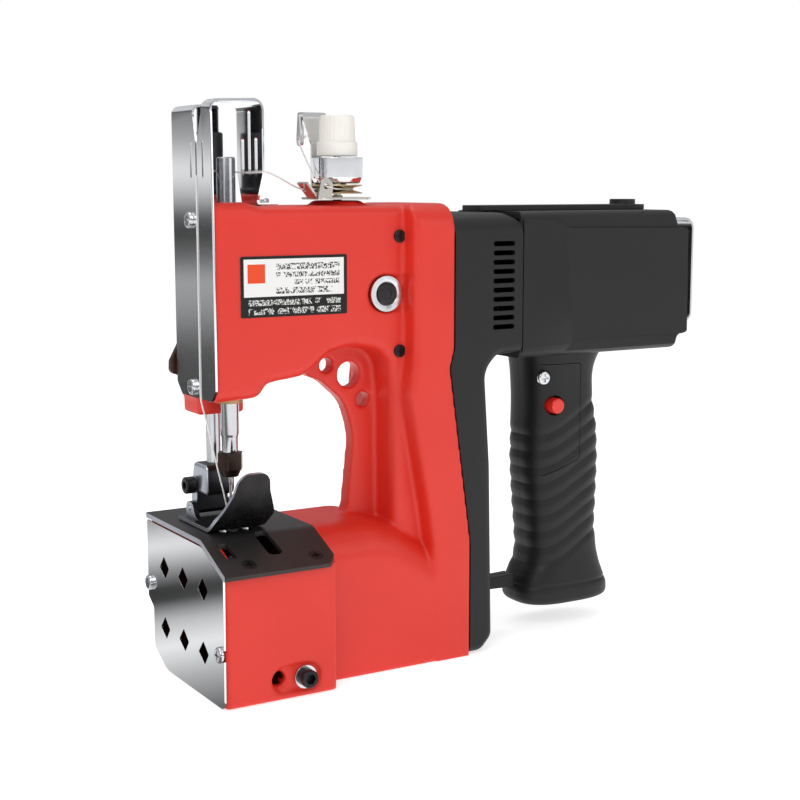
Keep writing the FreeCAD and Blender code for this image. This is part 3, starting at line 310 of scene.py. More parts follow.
@dataclass(frozen=True)
class Ground(Finish):
    """Bare metal with grinding or turning lines."""

    colour: Colour = (0.62, 0.63, 0.65)
    dark: Colour = (0.42, 0.43, 0.45)
    gloss: float = 0.18
    grain: Grain = Grain.ROUND_Z
    bite: float = 0.12

    def build(self, graph: Graph) -> None:
        """Stretched noise in colour, gloss and normal."""
        lines = graph.noise(260, 3, self.grain.value, 0.65)
        drift = graph.noise(35, 3)
        colour = graph.blend(lines * 0.7 + drift * 0.4, self.dark, self.colour)
        rough = self.gloss + lines * 0.14 + drift * 0.05
        graph.surface({"Base Color": colour, "Metallic": 1.0, "Roughness": rough,
                       "Normal": graph.bump(lines, self.bite, 0.06 * MM)})


@dataclass(frozen=True)
class Oxide(Finish):
    """Chemically blackened steel, slightly oily."""

    colour: Colour = (0.020, 0.020, 0.022)
    worn: Colour = (0.060, 0.058, 0.060)
    gloss: float = 0.26
    metal: float = 0.75

    def build(self, graph: Graph) -> None:
        """Patches of thinner oxide and fine pits."""
        patch = graph.noise(70, 4, rough=0.6)
        pits = graph.noise(1600, 2)
        colour = graph.blend((patch - 0.35) * 1.4, self.colour, self.worn)
        rough = self.gloss + patch * 0.14 + pits * 0.08
        graph.surface({"Base Color": colour, "Metallic": self.metal, "Roughness": rough,
                       "Normal": graph.bump(pits, 0.14, 0.05 * MM)})


@dataclass(frozen=True)
class BrushedBlack(Finish):
    """Blackened plate brushed along its length, with a pale bluish painted highlight on its left edge."""

    edge: float = 0.0
    colour: Colour = (0.022, 0.021, 0.021)
    line: Colour = (0.075, 0.072, 0.070)
    bare: Colour = (0.58, 0.60, 0.66)

    def build(self, graph: Graph) -> None:
        """Lines along the plate; the painted highlight where x is left of the given limit."""
        across, _, _ = graph.axes()
        lines = graph.noise(300, 3, Grain.ALONG_X.value, 0.7)
        blotch = graph.noise(50, 3)
        black = graph.blend(lines * 0.55 + blotch * 0.3 - 0.1, self.colour, self.line)
        # Painted highlight: faces left of the limit take the pale bluish colour and more metal.
        cut = across < self.edge
        rough = 0.34 + lines * 0.14 + blotch * 0.08
        graph.surface({"Base Color": graph.blend(cut, black, self.bare), "Metallic": 0.55 + cut * 0.4,
                       "Roughness": rough, "Normal": graph.bump(lines, 0.2, 0.06 * MM),
                       "Specular IOR Level": 0.5})


@dataclass(frozen=True)
class Rubber(Finish):
    """Matt black rubber."""

    def build(self, graph: Graph) -> None:
        """Dull surface with a dusty bloom."""
        bloom = graph.noise(90, 4)
        colour = graph.blend(bloom, (0.012, 0.012, 0.012), (0.03, 0.03, 0.031))
        graph.surface({"Base Color": colour, "Roughness": 0.62 + bloom * 0.15,
                       "Normal": graph.bump(graph.noise(1400, 2), 0.3, 0.1 * MM), "Specular IOR Level": 0.3})


@dataclass(frozen=True)
class Nylon(Finish):
    """Slightly translucent cream nylon."""

    colour: Colour = (0.93, 0.92, 0.87)
    dark: Colour = (0.86, 0.84, 0.77)

    def build(self, graph: Graph) -> None:
        """Milky drift in colour, soft sheen, a little light under the skin."""
        milk = graph.noise(120, 3)
        colour = graph.blend(milk, self.dark, self.colour)
        graph.surface({"Base Color": colour, "Roughness": 0.30 + milk * 0.12,
                       "Normal": graph.bump(graph.noise(900, 2), 0.08, 0.08 * MM),
                       "Subsurface Weight": 0.25, "Subsurface Radius": (0.004, 0.003, 0.002)})


@dataclass(frozen=True)
class Lacquer(Finish):
    """Glossy coloured plastic or paint."""

    colour: Colour = (0.80, 0.022, 0.012)
    gloss: float = 0.18

    def build(self, graph: Graph) -> None:
        """A faint ripple and smudges."""
        smudge = graph.noise(160, 3)
        dark = tuple(0.82 * part for part in self.colour)
        graph.surface({"Base Color": graph.blend(smudge, dark, self.colour),
                       "Roughness": self.gloss + smudge * 0.14,
                       "Normal": graph.bump(graph.noise(500, 2), 0.06, 0.1 * MM), "Coat Weight": 0.3,
                       "Coat Roughness": 0.1})


@dataclass(frozen=True)
class PrintedLabel(Finish):
    """White field and black band in a black frame, with rows of specks in place of words and a plain spot."""

    left: float = -0.6
    right: float = 61.5
    low: float = 198.0
    high: float = 229.5
    band: float = 10.6
    frame_wide: float = 1.9
    dark_rows: tuple = ((19.6, 57.0, 224.0, 1.7), (19.6, 57.0, 219.8, 1.3), (30.3, 57.0, 215.8, 1.3),
                        (19.6, 52.6, 211.5, 1.6))
    pale_rows: tuple = ((3.7, 57.6, 205.5, 1.5), (3.7, 57.6, 201.0, 1.6))

    def build(self, graph: Graph) -> None:
        """Field, frame, rows and spot from object coordinates."""
        across, _, up = (axis / MM for axis in graph.axes())
        strokes = graph.noise(1150, 2, (1.0, 1.0, 0.75), 0.7) > 0.5
        gaps = graph.noise(300, 0, (1.0, 1.0, 0.8)) > 0.38
        ink = strokes * gaps
        field = self.within(across, up, self.left + self.frame_wide, self.right - self.frame_wide,
                            self.low + self.band, self.high - 1.5)
        dark = self.rows(across, up, self.dark_rows) * ink
        pale = self.rows(across, up, self.pale_rows) * ink
        spot = self.within(across, up, 3.4, 13.4, 215.6, 225.4)
        colour = graph.blend(field, (0.010, 0.011, 0.011), (0.83, 0.83, 0.82))
        colour = graph.blend(spot, colour, (0.80, 0.075, 0.02))
        colour = graph.blend(dark, colour, (0.03, 0.03, 0.03))
        colour = graph.blend(pale, colour, (0.72, 0.72, 0.70))
        smudge = graph.noise(160, 3)
        graph.surface({"Base Color": colour, "Roughness": 0.30 + smudge * 0.12, "Specular IOR Level": 0.25,
                       "Normal": graph.bump(graph.noise(500, 2), 0.05, 0.1 * MM)})

    def within(self, across: Link, up: Link, left: float, right: float, low: float, high: float) -> Link:
        """One inside a rectangle, else zero."""
        return (across > left) * (across < right) * (up > low) * (up < high)

    def rows(self, across: Link, up: Link, rows: tuple) -> Link:
        """One inside any of the rows given as (left, right, middle, half height)."""
        shares = [self.within(across, up, left, right, middle - half, middle + half)
                  for left, right, middle, half in rows]
        total = shares[0]
        for share in shares[1:]:
            total = total + share
        return total


@dataclass(frozen=True)
class Cotton(Finish):
    """Twisted white sewing thread; the twist follows the strand's own length."""

    def build(self, graph: Graph) -> None:
        """Twist lines from the piece's UV map, in the bump and as painted shade darkening the grooves between plies.
        """
        along, around, _ = graph.axes(graph.add("ShaderNodeUVMap", {"uv_map": "strand"}, {}))
        ply_relief_and_shade = ((along * 5200 + around * 12.566).sine() + 1.0) * 0.5
        # Painted shade: the colour darkens in the grooves between the plies.
        colour = graph.blend(ply_relief_and_shade, (0.62, 0.62, 0.60), (0.90, 0.90, 0.88))
        graph.surface({"Base Color": colour, "Roughness": 0.7 + ply_relief_and_shade * 0.1, "Normal": graph.bump(ply_relief_and_shade, 0.5, 0.1 * MM),
                       "Sheen Weight": 0.3})


RED = PowderCoat("red_powder_coat")
# Painted shade: dark red for the faces inside the base block, standing in for the shade in that room and behind its
# holes.
SHADE_CAST_INTERIOR = PowderCoat("painted_shade_interior", colour=(0.060, 0.014, 0.012), shade=(0.022, 0.010, 0.010), gloss=0.5)
BLACK_NYLON = Moulded("black_nylon")
BLACK_SMOOTH = Moulded("black_smooth_nylon", gloss=0.36, grain=0.18, per_metre=1700)
CHROME = Plated("chrome_sheet")
CHROME_TURNED = Plated("chrome_turned", gloss=0.07, wave=0.02)
ZINC = Plated("zinc_plate", colour=(0.70, 0.71, 0.73), gloss=0.16)
NICKEL = Plated("nickel_plate", colour=(0.66, 0.63, 0.58), gloss=0.14)
BRASS = Ground("nickelled_brass", colour=(0.74, 0.62, 0.40), dark=(0.55, 0.43, 0.24), gloss=0.16)
BRONZE = Ground("sintered_bronze", colour=(0.60, 0.40, 0.20), dark=(0.42, 0.27, 0.13), gloss=0.38)
STEEL_BAR = Ground("ground_bar", gloss=0.10, bite=0.06)
STEEL_BRIGHT = Ground("bright_steel", colour=(0.68, 0.69, 0.71), dark=(0.5, 0.51, 0.53), gloss=0.14)
STEEL_PLAIN = Ground("plain_steel", colour=(0.46, 0.47, 0.48), dark=(0.28, 0.28, 0.30), gloss=0.30,
                     grain=Grain.ALONG_X)
STEEL_CAST = Ground("cast_foot_steel", colour=(0.11, 0.11, 0.12), dark=(0.035, 0.035, 0.038), gloss=0.26,
                    grain=Grain.ALONG_Y, bite=0.3)
BLACK_OXIDE = Oxide("black_oxide")
SOLE_BLACK = Oxide("sole_black", colour=(0.014, 0.014, 0.015), worn=(0.05, 0.05, 0.052), gloss=0.16, metal=0.6)
# Painted highlight: pale bluish steel laid on faces of the foot parts by the way they face, for the light they
# catch.
HIGHLIGHT_STEEL = Ground("painted_highlight_steel", colour=(0.66, 0.69, 0.76), dark=(0.50, 0.52, 0.58), gloss=0.26)
BROWN_OXIDE = Oxide("brown_oxide", colour=(0.050, 0.026, 0.018), worn=(0.12, 0.075, 0.055), gloss=0.24)
NUT_OXIDE = Oxide("nut_oxide", colour=(0.024, 0.013, 0.010), worn=(0.085, 0.050, 0.036), gloss=0.2)
BLACK_PAINT = Oxide("black_paint", colour=(0.012, 0.012, 0.013), worn=(0.03, 0.03, 0.032), gloss=0.34, metal=0.1)
SOOT = Rubber("black_rubber")
CARBON = Moulded("carbon", colour=(0.03, 0.03, 0.032), worn=(0.05, 0.05, 0.052), gloss=0.5)
CREAM = Nylon("cream_nylon")
BUTTON_RED = Lacquer("button_red")
THREAD = Cotton("white_thread")


# ---- meshes ----

def through(stops: Sequence[Point], step: float) -> list[Vector]:
    """Points on a smooth line through stops, about step apart, all in millimetres."""
    spots = [Vector(stop) for stop in stops]
    spots = [spots[0] * 2 - spots[1], *spots, spots[-1] * 2 - spots[-2]]
    line = [spots[1]]
    for before, start, end, after in zip(spots, spots[1:], spots[2:], spots[3:]):
        count = max(1, round((end - start).length / step))
        for index in range(1, count + 1):
            share = index / count
            line.append(0.5 * (2 * start + (end - before) * share
                               + (2 * before - 5 * start + 4 * end - after) * share ** 2
                               + (3 * start - before - 3 * end + after) * share ** 3))
    return line


def smooth_share(value: float) -> float:
    """Smooth step from 0 to 1."""
    value = min(1.0, max(0.0, value))
    return value * value * (3 - 2 * value)


class Shape:
    """A mesh in the making, in metres in the machine's frame."""

    def __init__(self) -> None:
        """Start empty."""
        self.mesh = bmesh.new()

    @classmethod
    def of_node(cls, *nodes: str) -> "Shape":
        """Closed copy of one or more solids of the frame."""
        shape = cls()
        for node in nodes:
            shape.mesh.from_mesh(frame["nodes"][node].data)
        bmesh.ops.remove_doubles(shape.mesh, verts=shape.mesh.verts, dist=0.002 * MM)
        bmesh.ops.dissolve_degenerate(shape.mesh, edges=shape.mesh.edges, dist=0.001 * MM)
        return shape

    def lathe(self, profile: Sequence[tuple[float, float]], centre: Point, axis: Point = (0, 0, 1),
              steps: int = 48) -> "Shape":
        """Add a body of revolution.

        Args:
            profile: (radius, length) pairs in millimetres along the axis.
            centre: a point on the axis, millimetres, where length is zero.
            axis: direction of the axis.
            steps: facets round the axis.

        Returns:
            This shape.
        """
        turn = Vector((0, 0, 1)).rotation_difference(Vector(axis)).to_matrix().to_4x4()
        place = Matrix.Translation(Vector(centre) * MM) @ turn
        verts = [self.mesh.verts.new(place @ Vector((radius * MM, 0, length * MM))) for radius, length in profile]
        edges = [self.mesh.edges.new(pair) for pair in zip(verts, verts[1:])]
        bmesh.ops.spin(self.mesh, geom=verts + edges, cent=Vector(centre) * MM, axis=Vector(axis),
                       angle=2 * math.pi, steps=steps, use_merge=True)
        return self.tidy()

    def tidy(self) -> "Shape":
        """Merge doubles and point the faces outwards."""
        bmesh.ops.remove_doubles(self.mesh, verts=self.mesh.verts, dist=0.002 * MM)
        bmesh.ops.recalc_face_normals(self.mesh, faces=self.mesh.faces)
        return self

    def flatten(self, degrees: float = 0.6) -> "Shape":
        """Dissolve the edges inside flat faces."""
        bmesh.ops.dissolve_limit(self.mesh, angle_limit=math.radians(degrees), verts=self.mesh.verts,
                                 edges=self.mesh.edges)
        return self

    def each_point(self, change: Callable[[Vector, Vector], Vector]) -> "Shape":
        """Move every vertex by a function of its place and normal."""
        self.mesh.normal_update()
        moved = [change(vert.co.copy(), vert.normal.copy()) for vert in self.mesh.verts]
        for vert, spot in zip(self.mesh.verts, moved):
            vert.co = spot
        return self

    def applied(self, kind: str, settings: dict) -> "Shape":
        """Run one modifier over the shape and keep its result."""
        data = self.to_data("work")
        holder = bpy.data.objects.new("work", data)
        bpy.context.scene.collection.objects.link(holder)
        change = holder.modifiers.new("work", kind)
        for key, value in settings.items():
            setattr(change, key, value)
        ready = bpy.data.meshes.new_from_object(holder.evaluated_get(bpy.context.evaluated_depsgraph_get()))
        bpy.data.objects.remove(holder)
        bpy.data.meshes.remove(data)
        self.mesh = bmesh.new()
        self.mesh.from_mesh(ready)
        bpy.data.meshes.remove(ready)
        return self

    def remesh(self, voxel: float, smooth: int = 2) -> "Shape":
        """Replace the mesh by one skin of even quads, voxel size in millimetres."""
        self.applied("REMESH", {"mode": "VOXEL", "voxel_size": voxel * MM})
        for _ in range(smooth):
            bmesh.ops.smooth_vert(self.mesh, verts=self.mesh.verts, factor=0.5,
                                  use_axis_x=True, use_axis_y=True, use_axis_z=True)
        return self

    def carve(self, tool: "Shape", keep: bool = False) -> "Shape":
        """Cut a closed tool out of the shape, or keep only what lies inside it."""
        holder = bpy.data.objects.new("tool", tool.to_data("tool"))
        bpy.context.scene.collection.objects.link(holder)
        self.applied("BOOLEAN", {"operation": "INTERSECT" if keep else "DIFFERENCE", "solver": "EXACT",
                                 "object": holder})
        data = holder.data
        bpy.data.objects.remove(holder)
        bpy.data.meshes.remove(data)
        return self

    def copy(self) -> "Shape":
        """A second shape with the same mesh."""
        twin = Shape()
        twin.mesh = self.mesh.copy()
        return twin

    def halve(self, point: Point, away: Point) -> "Shape":
        """Cut flat through a point in millimetres, drop the side that faces away and close the cut."""
        parts = bmesh.ops.bisect_plane(self.mesh, geom=self.mesh.verts[:] + self.mesh.edges[:] + self.mesh.faces[:],
                                       plane_co=Vector(point) * MM, plane_no=Vector(away), clear_outer=True)
        rim = [part for part in parts["geom_cut"] if isinstance(part, bmesh.types.BMEdge)]
        bmesh.ops.triangle_fill(self.mesh, edges=rim, use_beauty=True)
        return self.tidy()

    def prism(self, outline: Sequence[tuple[float, float]], low: float, high: float, corner: float = 0) -> "Shape":
        """Add an outline in x and z extruded along y, all in millimetres, with rounded corners."""
        ring = [self.mesh.verts.new(Vector((across, low, up)) * MM) for across, up in outline]
        sides = bmesh.ops.extrude_face_region(self.mesh, geom=[self.mesh.faces.new(ring)])
        moved = [part for part in sides["geom"] if isinstance(part, bmesh.types.BMVert)]
        bmesh.ops.translate(self.mesh, verts=moved, vec=Vector((0, high - low, 0)) * MM)
        self.tidy()
        if corner:
            long_edges = [edge for edge in self.mesh.edges
                          if abs((edge.verts[0].co - edge.verts[1].co).normalized().y) > 0.9]
            bmesh.ops.bevel(self.mesh, geom=long_edges, affect="EDGES", offset=corner * MM, segments=5, profile=0.5,
                            material=-1)
        return self

    def loft(self, rings: Sequence[Sequence[Vector]]) -> "Shape":
        """Skin a row of closed rings with the same number of points, in metres, and close both ends."""
        loops = [[self.mesh.verts.new(spot) for spot in ring] for ring in rings]
        for low, high in zip(loops, loops[1:]):
            for index in range(len(low)):
                self.mesh.faces.new((low[index - 1], low[index], high[index], high[index - 1]))
        self.mesh.faces.new(loops[0])
        self.mesh.faces.new(loops[-1])
        return self.tidy()

    def strand(self, stops: Sequence[Point], thick: float, sides: int = 10, step: float = 0.7) -> "Shape":
        """Add a round thread through points, with its length and turn in the UV map "strand".

        Args:
            stops: points in millimetres that it passes.
            thick: diameter in millimetres.
            sides: facets round it.
            step: distance between rings in millimetres.

        Returns:
            This shape.
        """
        line = through(stops, step)
        layer = self.mesh.loops.layers.uv.new("strand")
        side = Vector((0, 0, 1)).cross(line[1] - line[0])
        side = side.normalized() if side.length > 1e-6 else Vector((1, 0, 0))
        loops, lengths, run = [], [], 0.0
        for index, spot in enumerate(line):
            ahead = (line[min(index + 1, len(line) - 1)] - line[max(index - 1, 0)]).normalized()
            side = (side - ahead * side.dot(ahead)).normalized()
            other = ahead.cross(side)
            turns = [2 * math.pi * facet / sides for facet in range(sides)]
            rays = [(side * math.cos(turn) + other * math.sin(turn)) * thick / 2 for turn in turns]
            loops.append([self.mesh.verts.new((spot + ray) * MM) for ray in rays])
            run += (spot - line[index - 1]).length if index else 0.0
            lengths.append(run * MM)
        for index in range(len(loops) - 1):
            low, high = loops[index], loops[index + 1]
            for facet in range(sides):
                after = (facet + 1) % sides
                face = self.mesh.faces.new((low[facet], low[after], high[after], high[facet]))
                for corner, (length, turn) in zip(face.loops, ((lengths[index], facet), (lengths[index], facet + 1),
                                                               (lengths[index + 1], facet + 1),
                                                               (lengths[index + 1], facet))):
                    corner[layer].uv = (length, turn / sides)
        self.mesh.faces.new(loops[0])
        self.mesh.faces.new(loops[-1])
        bmesh.ops.recalc_face_normals(self.mesh, faces=self.mesh.faces)
        return self

    def to_data(self, name: str) -> bpy.types.Mesh:
        """Turn the work into mesh data and free the work."""
        data = bpy.data.meshes.new(name)
        self.mesh.to_mesh(data)
        self.mesh.free()
        return data

    def piece(self, name: str, finish: Finish, sharp: float = 35, edge: float = 0.0,
              cut: Optional[Finish] = None, takes_second: Optional[FaceTest] = None) -> bpy.types.Object:
        """Finish the shape as an object in the scene.

        Args:
            name: the piece's name.
            finish: its surface.
            sharp: edges steeper than this many degrees stay crisp, or are rounded.
            edge: width of that rounding in millimetres, none where zero.
            cut: a second surface for some of its faces.
            takes_second: tells from a face's centre and normal whether it takes the second surface.

        Returns:
            The object, at the origin.
        """
        data = self.to_data(name)
        data.materials.append(finish.material())
        if cut is not None:
            data.materials.append(cut.material())
        for face in data.polygons:
            face.use_smooth = True
            face.material_index = int(cut is not None and takes_second(face.center, face.normal))
        data.set_sharp_from_angle(angle=math.radians(sharp))
        made = bpy.data.objects.new(name, data)
        bpy.context.scene.collection.objects.link(made)
        if edge:
            soft = made.modifiers.new("edges", "BEVEL")
            soft.width = edge * MM
            soft.segments = 2
            soft.limit_method = "ANGLE"
            soft.angle_limit = math.radians(sharp)
            soft.use_clamp_overlap = True
            soft.harden_normals = True
        return made


def settle(made: bpy.types.Object, *nodes: str) -> bpy.types.Object:
    """Tie a piece to the body of the solids that it stands for, and hide those solids.

    Args:
        made: the piece.
        nodes: frame solids that it replaces.

    Returns:
        The piece.
    """
    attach(made, BODY_OF[nodes[0]])
    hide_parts(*nodes)
    return made


@dataclass
class Assembly:
    """What every sub-assembly can do with the frame's solids."""

    def refine(self, node: str, finish: Finish, edge: float = 0.25, sharp: float = 35,
               cut: Optional[Finish] = None, takes_second: Optional[FaceTest] = None) -> bpy.types.Object:
        """Replace a solid by a rounded, smooth-shaded copy of itself.

        Args:
            node: the solid.
            finish: its surface.
            edge: width of the rounding in millimetres.
            sharp: angle in degrees past which an edge is rounded.
            cut: a second surface for some of its faces.
            takes_second: tells from a face's centre and normal whether it takes the second surface.

        Returns:
            The new piece.
        """
        return settle(Shape.of_node(node).flatten().piece(node + "_skin", finish, sharp, edge, cut, takes_second), node)

    def dress(self, finish: Finish, *nodes: str) -> None:
        """Give solids that stay as they are their surface."""
        for node in nodes:
            slots = frame["nodes"][node].data.materials
            slots.clear()
            slots.append(finish.material())


# ---- casting and base ----

@dataclass
class CastFrame(Assembly):
    """Red one-piece casting and the shaft-end bush in its arm."""

    voxel: float = 1.15
    smoothing: int = 3
    fold_back: float = -16.0
    fold_slope: float = 0.462

    def build(self) -> None:
        """Casting skin with cast radii, then the bush and its socket screw."""
        skin = Shape.of_node("main_casting").remesh(self.voxel, self.smoothing).flatten(0.9)
        # Faces in the base block's inner room take the dark red painted shade.
        settle(skin.piece("casting_skin", RED, 60, cut=SHADE_CAST_INTERIOR, takes_second=self.base_room()), "main_casting")
        self.refine("arm_bush", ZINC, 0.3)
        self.refine("socket_screws", BLACK_OXIDE, 0.2)
        self.refine("base_lock_washer", ZINC, 0.15)
        self.refine("black_screws", BLACK_OXIDE, 0.15)

    def base_room(self) -> FaceTest:
        """Make the test of whether a face lies in the room inside the base block, which takes the painted shade."""
        low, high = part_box("base_end_cover")
        _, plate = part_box("needle_plate")

        def inside(centre: Vector, _: Vector) -> bool:
            """Within the block's walls and below the plate, which slopes at its front."""
            slope = max(0.0, self.fold_back * MM - centre.y) * self.fold_slope
            return (high.x + 1.2 * MM < centre.x < plate.x - 1.5 * MM
                    and low.y + 7.5 * MM < centre.y < plate.y - 13 * MM
                    and 2.2 * MM < centre.z < plate.z - 3.4 * MM - slope)

        return inside


@dataclass
class Base(Assembly):
    """Needle plate, end cover and their screws."""

    def build(self) -> None:
        """Dress the plates and screws."""
        low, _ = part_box("needle_plate")
        # The plate's left edge gets a painted highlight in a pale bluish colour.
        self.refine("needle_plate", BrushedBlack("brushed_black_plate_lit_edge", edge=low.x + 0.35 * MM), 0.3)
        self.refine("base_end_cover", CHROME, 0.2)
        self.refine("needle_plate_screws", BLACK_OXIDE, 0.15)
        self.refine("cover_screws", ZINC, 0.2)
        self.refine("feed_dog", STEEL_BRIGHT, 0.1)


@dataclass
class Head(Assembly):
    """Face plates, needle bar, presser bar and the foot."""

    pitch: float = 1.05
    thread_from: float = 292.5

    def build(self) -> None:
        """Refine every piece of the head that shows."""
        for node, finish, edge in (
                ("face_plate_near", CHROME, 0.25), ("face_plate_far", CHROME, 0.25), ("bar_bushes", BRONZE, 0.2),
                ("needle_bar", STEEL_BAR, 0.2), ("collet_nut", NUT_OXIDE, 0.5), ("needle", STEEL_BRIGHT, 0.0),
                ("needle_bar_clamp", STEEL_PLAIN, 0.3), ("connecting_rod", STEEL_PLAIN, 0.3),
                ("presser_bar", STEEL_BAR, 0.2), ("presser_bar_collar", STEEL_PLAIN, 0.3),
                ("presser_spring", STEEL_BRIGHT, 0.0), ("presser_sleeve", BLACK_OXIDE, 0.3)):
            self.refine(node, finish, edge)
        self.adjusting_screw()
        # Painted highlight: faces turned to the left take the pale bluish steel.
        self.refine("presser_foot_holder", STEEL_CAST, 0.6, 35, HIGHLIGHT_STEEL,
                    lambda centre, normal: normal.x < -0.35)
        self.refine("foot_clamp_screw", BLACK_OXIDE, 0.2)
        # Painted highlight: faces turned along x and upward faces above 115 mm take the pale bluish steel.
        self.refine("presser_sole", SOLE_BLACK, 0.3, 35, HIGHLIGHT_STEEL,
                    lambda centre, normal: abs(normal.x) > 0.3 or (normal.z > 0.5 and centre.z > 0.115))
        self.refine("sole_hinge_pin", STEEL_BRIGHT, 0.2)
        self.refine("presser_lift_lever", BROWN_OXIDE, 0.5)

    def adjusting_screw(self) -> None:
        """Hollow pressure screw with its thread cut above the sleeve."""
        low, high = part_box("presser_adjust_screw")
        bottom, top = low.z / MM, high.z / MM
        outer, bore, root = (high.x - low.x) / 2 / MM, 4.3, 5.35
        profile = [(bore, 0), (outer, 0)]
        crest = self.thread_from
        while crest + self.pitch < top - 0.9:
            profile += [(outer, crest - bottom), (root, crest - bottom + self.pitch / 2)]
            crest += self.pitch
        profile += [(outer, crest - bottom), (root, top - bottom - 0.2), (5.2, top - bottom), (bore, top - bottom),
                    (bore, 0)]
        middle = (low + high) / 2 / MM
        shape = Shape().lathe(profile, (middle.x, middle.y, bottom))
        settle(shape.piece("presser_adjust_screw_skin", BLACK_OXIDE, 30), "presser_adjust_screw")


@dataclass
class TensionUnit(Assembly):
    """Thread tension unit on top of the arm."""

    def build(self) -> None:
        """Refine the bracket, discs, cup, spring, knob and guide."""
        for node, finish, edge in (
                ("tension_bracket", NICKEL, 0.2), ("tension_post", NICKEL, 0.2), ("tension_disc_lower", BRASS, 0.15),
                ("tension_disc_upper", BRASS, 0.15), ("tension_spring_cup", CHROME_TURNED, 0.3),
                ("tension_spring", STEEL_BRIGHT, 0.0), ("tension_knob", CREAM, 0.2),
                ("tall_thread_guide", CHROME, 0.2)):
            self.refine(node, finish, edge)


@dataclass
class SewingThread(Assembly):
    """White thread from the tall guide through the tension unit and the head to the needle."""

    thick: float = 0.8
    upper_run: tuple = (
        (61, 27.5, 292.5), (57.5, 25, 290.3), (54.6, 23.4, 289.2), (53.2, 14, 281), (52.6, 4, 272.5),
        (53.6, -3.5, 266.6), (54.6, -6.6, 265.2), (56.6, -8.6, 264.4), (61.5, -5.6, 263.7), (68.5, -3.0, 263.52),
        (74.6, -0.5, 263.52), (77.0, 5.5, 263.52), (74.6, 11.4, 263.52), (68.5, 14.0, 263.52), (62, 11.6, 263.6),
        (54, 5, 263.5), (46.3, 2, 263.4), (40, 0.5, 265.0), (27, -8.5, 269.3), (16.2, -15.6, 272.2),
        (13.0, -15.2, 272.3), (12.7, -8, 272.1), (12.7, 0, 271.9), (12.6, 7.5, 272.2), (9, 9.2, 272.6),
        (1, 7.0, 273.2), (-5.2, 4.2, 272.6), (-11, 1.6, 271.0), (-15.1, 0.8, 270.0), (-15.9, 0.85, 267.5),
        (-15.95, 0.9, 240), (-15.95, 0.9, 200), (-15.95, 0.9, 157.5))
    lower_run: tuple = (
        (-15.95, 0.9, 157.5), (-15.7, 0.4, 153.5), (-13.2, -1.6, 140), (-9.6, -3.6, 121), (-5.4, -3.4, 104),
        (-1.9, -1.6, 90.5), (-0.2, -1.1, 86.5))

    def build(self) -> None:
        """The run that stands still, and the run down to the needle."""
        upper = Shape().strand(self.upper_run, self.thick).piece("thread_upper", THREAD, 60)
        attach(upper, "root")
        lower = Shape().strand(self.lower_run, self.thick).piece("thread_lower", THREAD, 60)
        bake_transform(lower)
        LOG.info("%s follows the needle", lower.name)

    @property
    def slot(self) -> str:
        """Slot of the palest plastic."""
        return SLOT_OF["tension_knob"]


@dataclass
class Label(Assembly):
    """Printed plate on the arm, with bars in place of words."""

    def build(self) -> None:
        """Plate with its print, bare at the cut edges."""
        self.refine("name_label", PrintedLabel("printed_label"), 0.08, 35, STEEL_BRIGHT,
                    lambda centre, normal: abs(normal.y) < 0.5)


@dataclass
class Covers(Assembly):
    """Belt cover, motor box and what is fixed to them."""

    def build(self) -> None:
        """Refine the covers, then the motor box."""
        for node, finish, edge in (
                ("belt_cover", BLACK_NYLON, 0.6), ("grip_brace", BLACK_NYLON, 0.6),
                ("switch_button", BUTTON_RED, 0.4),
                ("spool_arm", BLACK_PAINT, 0.4), ("tail_bail", STEEL_BRIGHT, 0.3), ("cord_inlet_bush", SOOT, 0.4)):
            self.refine(node, finish, edge)
        self.motor_box()

    def motor_box(self) -> None:
        """Both halves of the motor box, cut off above the grip."""
        for side in ("near", "far"):
            shape = Shape.of_node(f"housing_{side}").halve((0, 0, 167.9), (0, 0, -1)).flatten()
            settle(shape.piece(f"motor_box_{side}", BLACK_NYLON, 35, 0.6), f"housing_{side}")


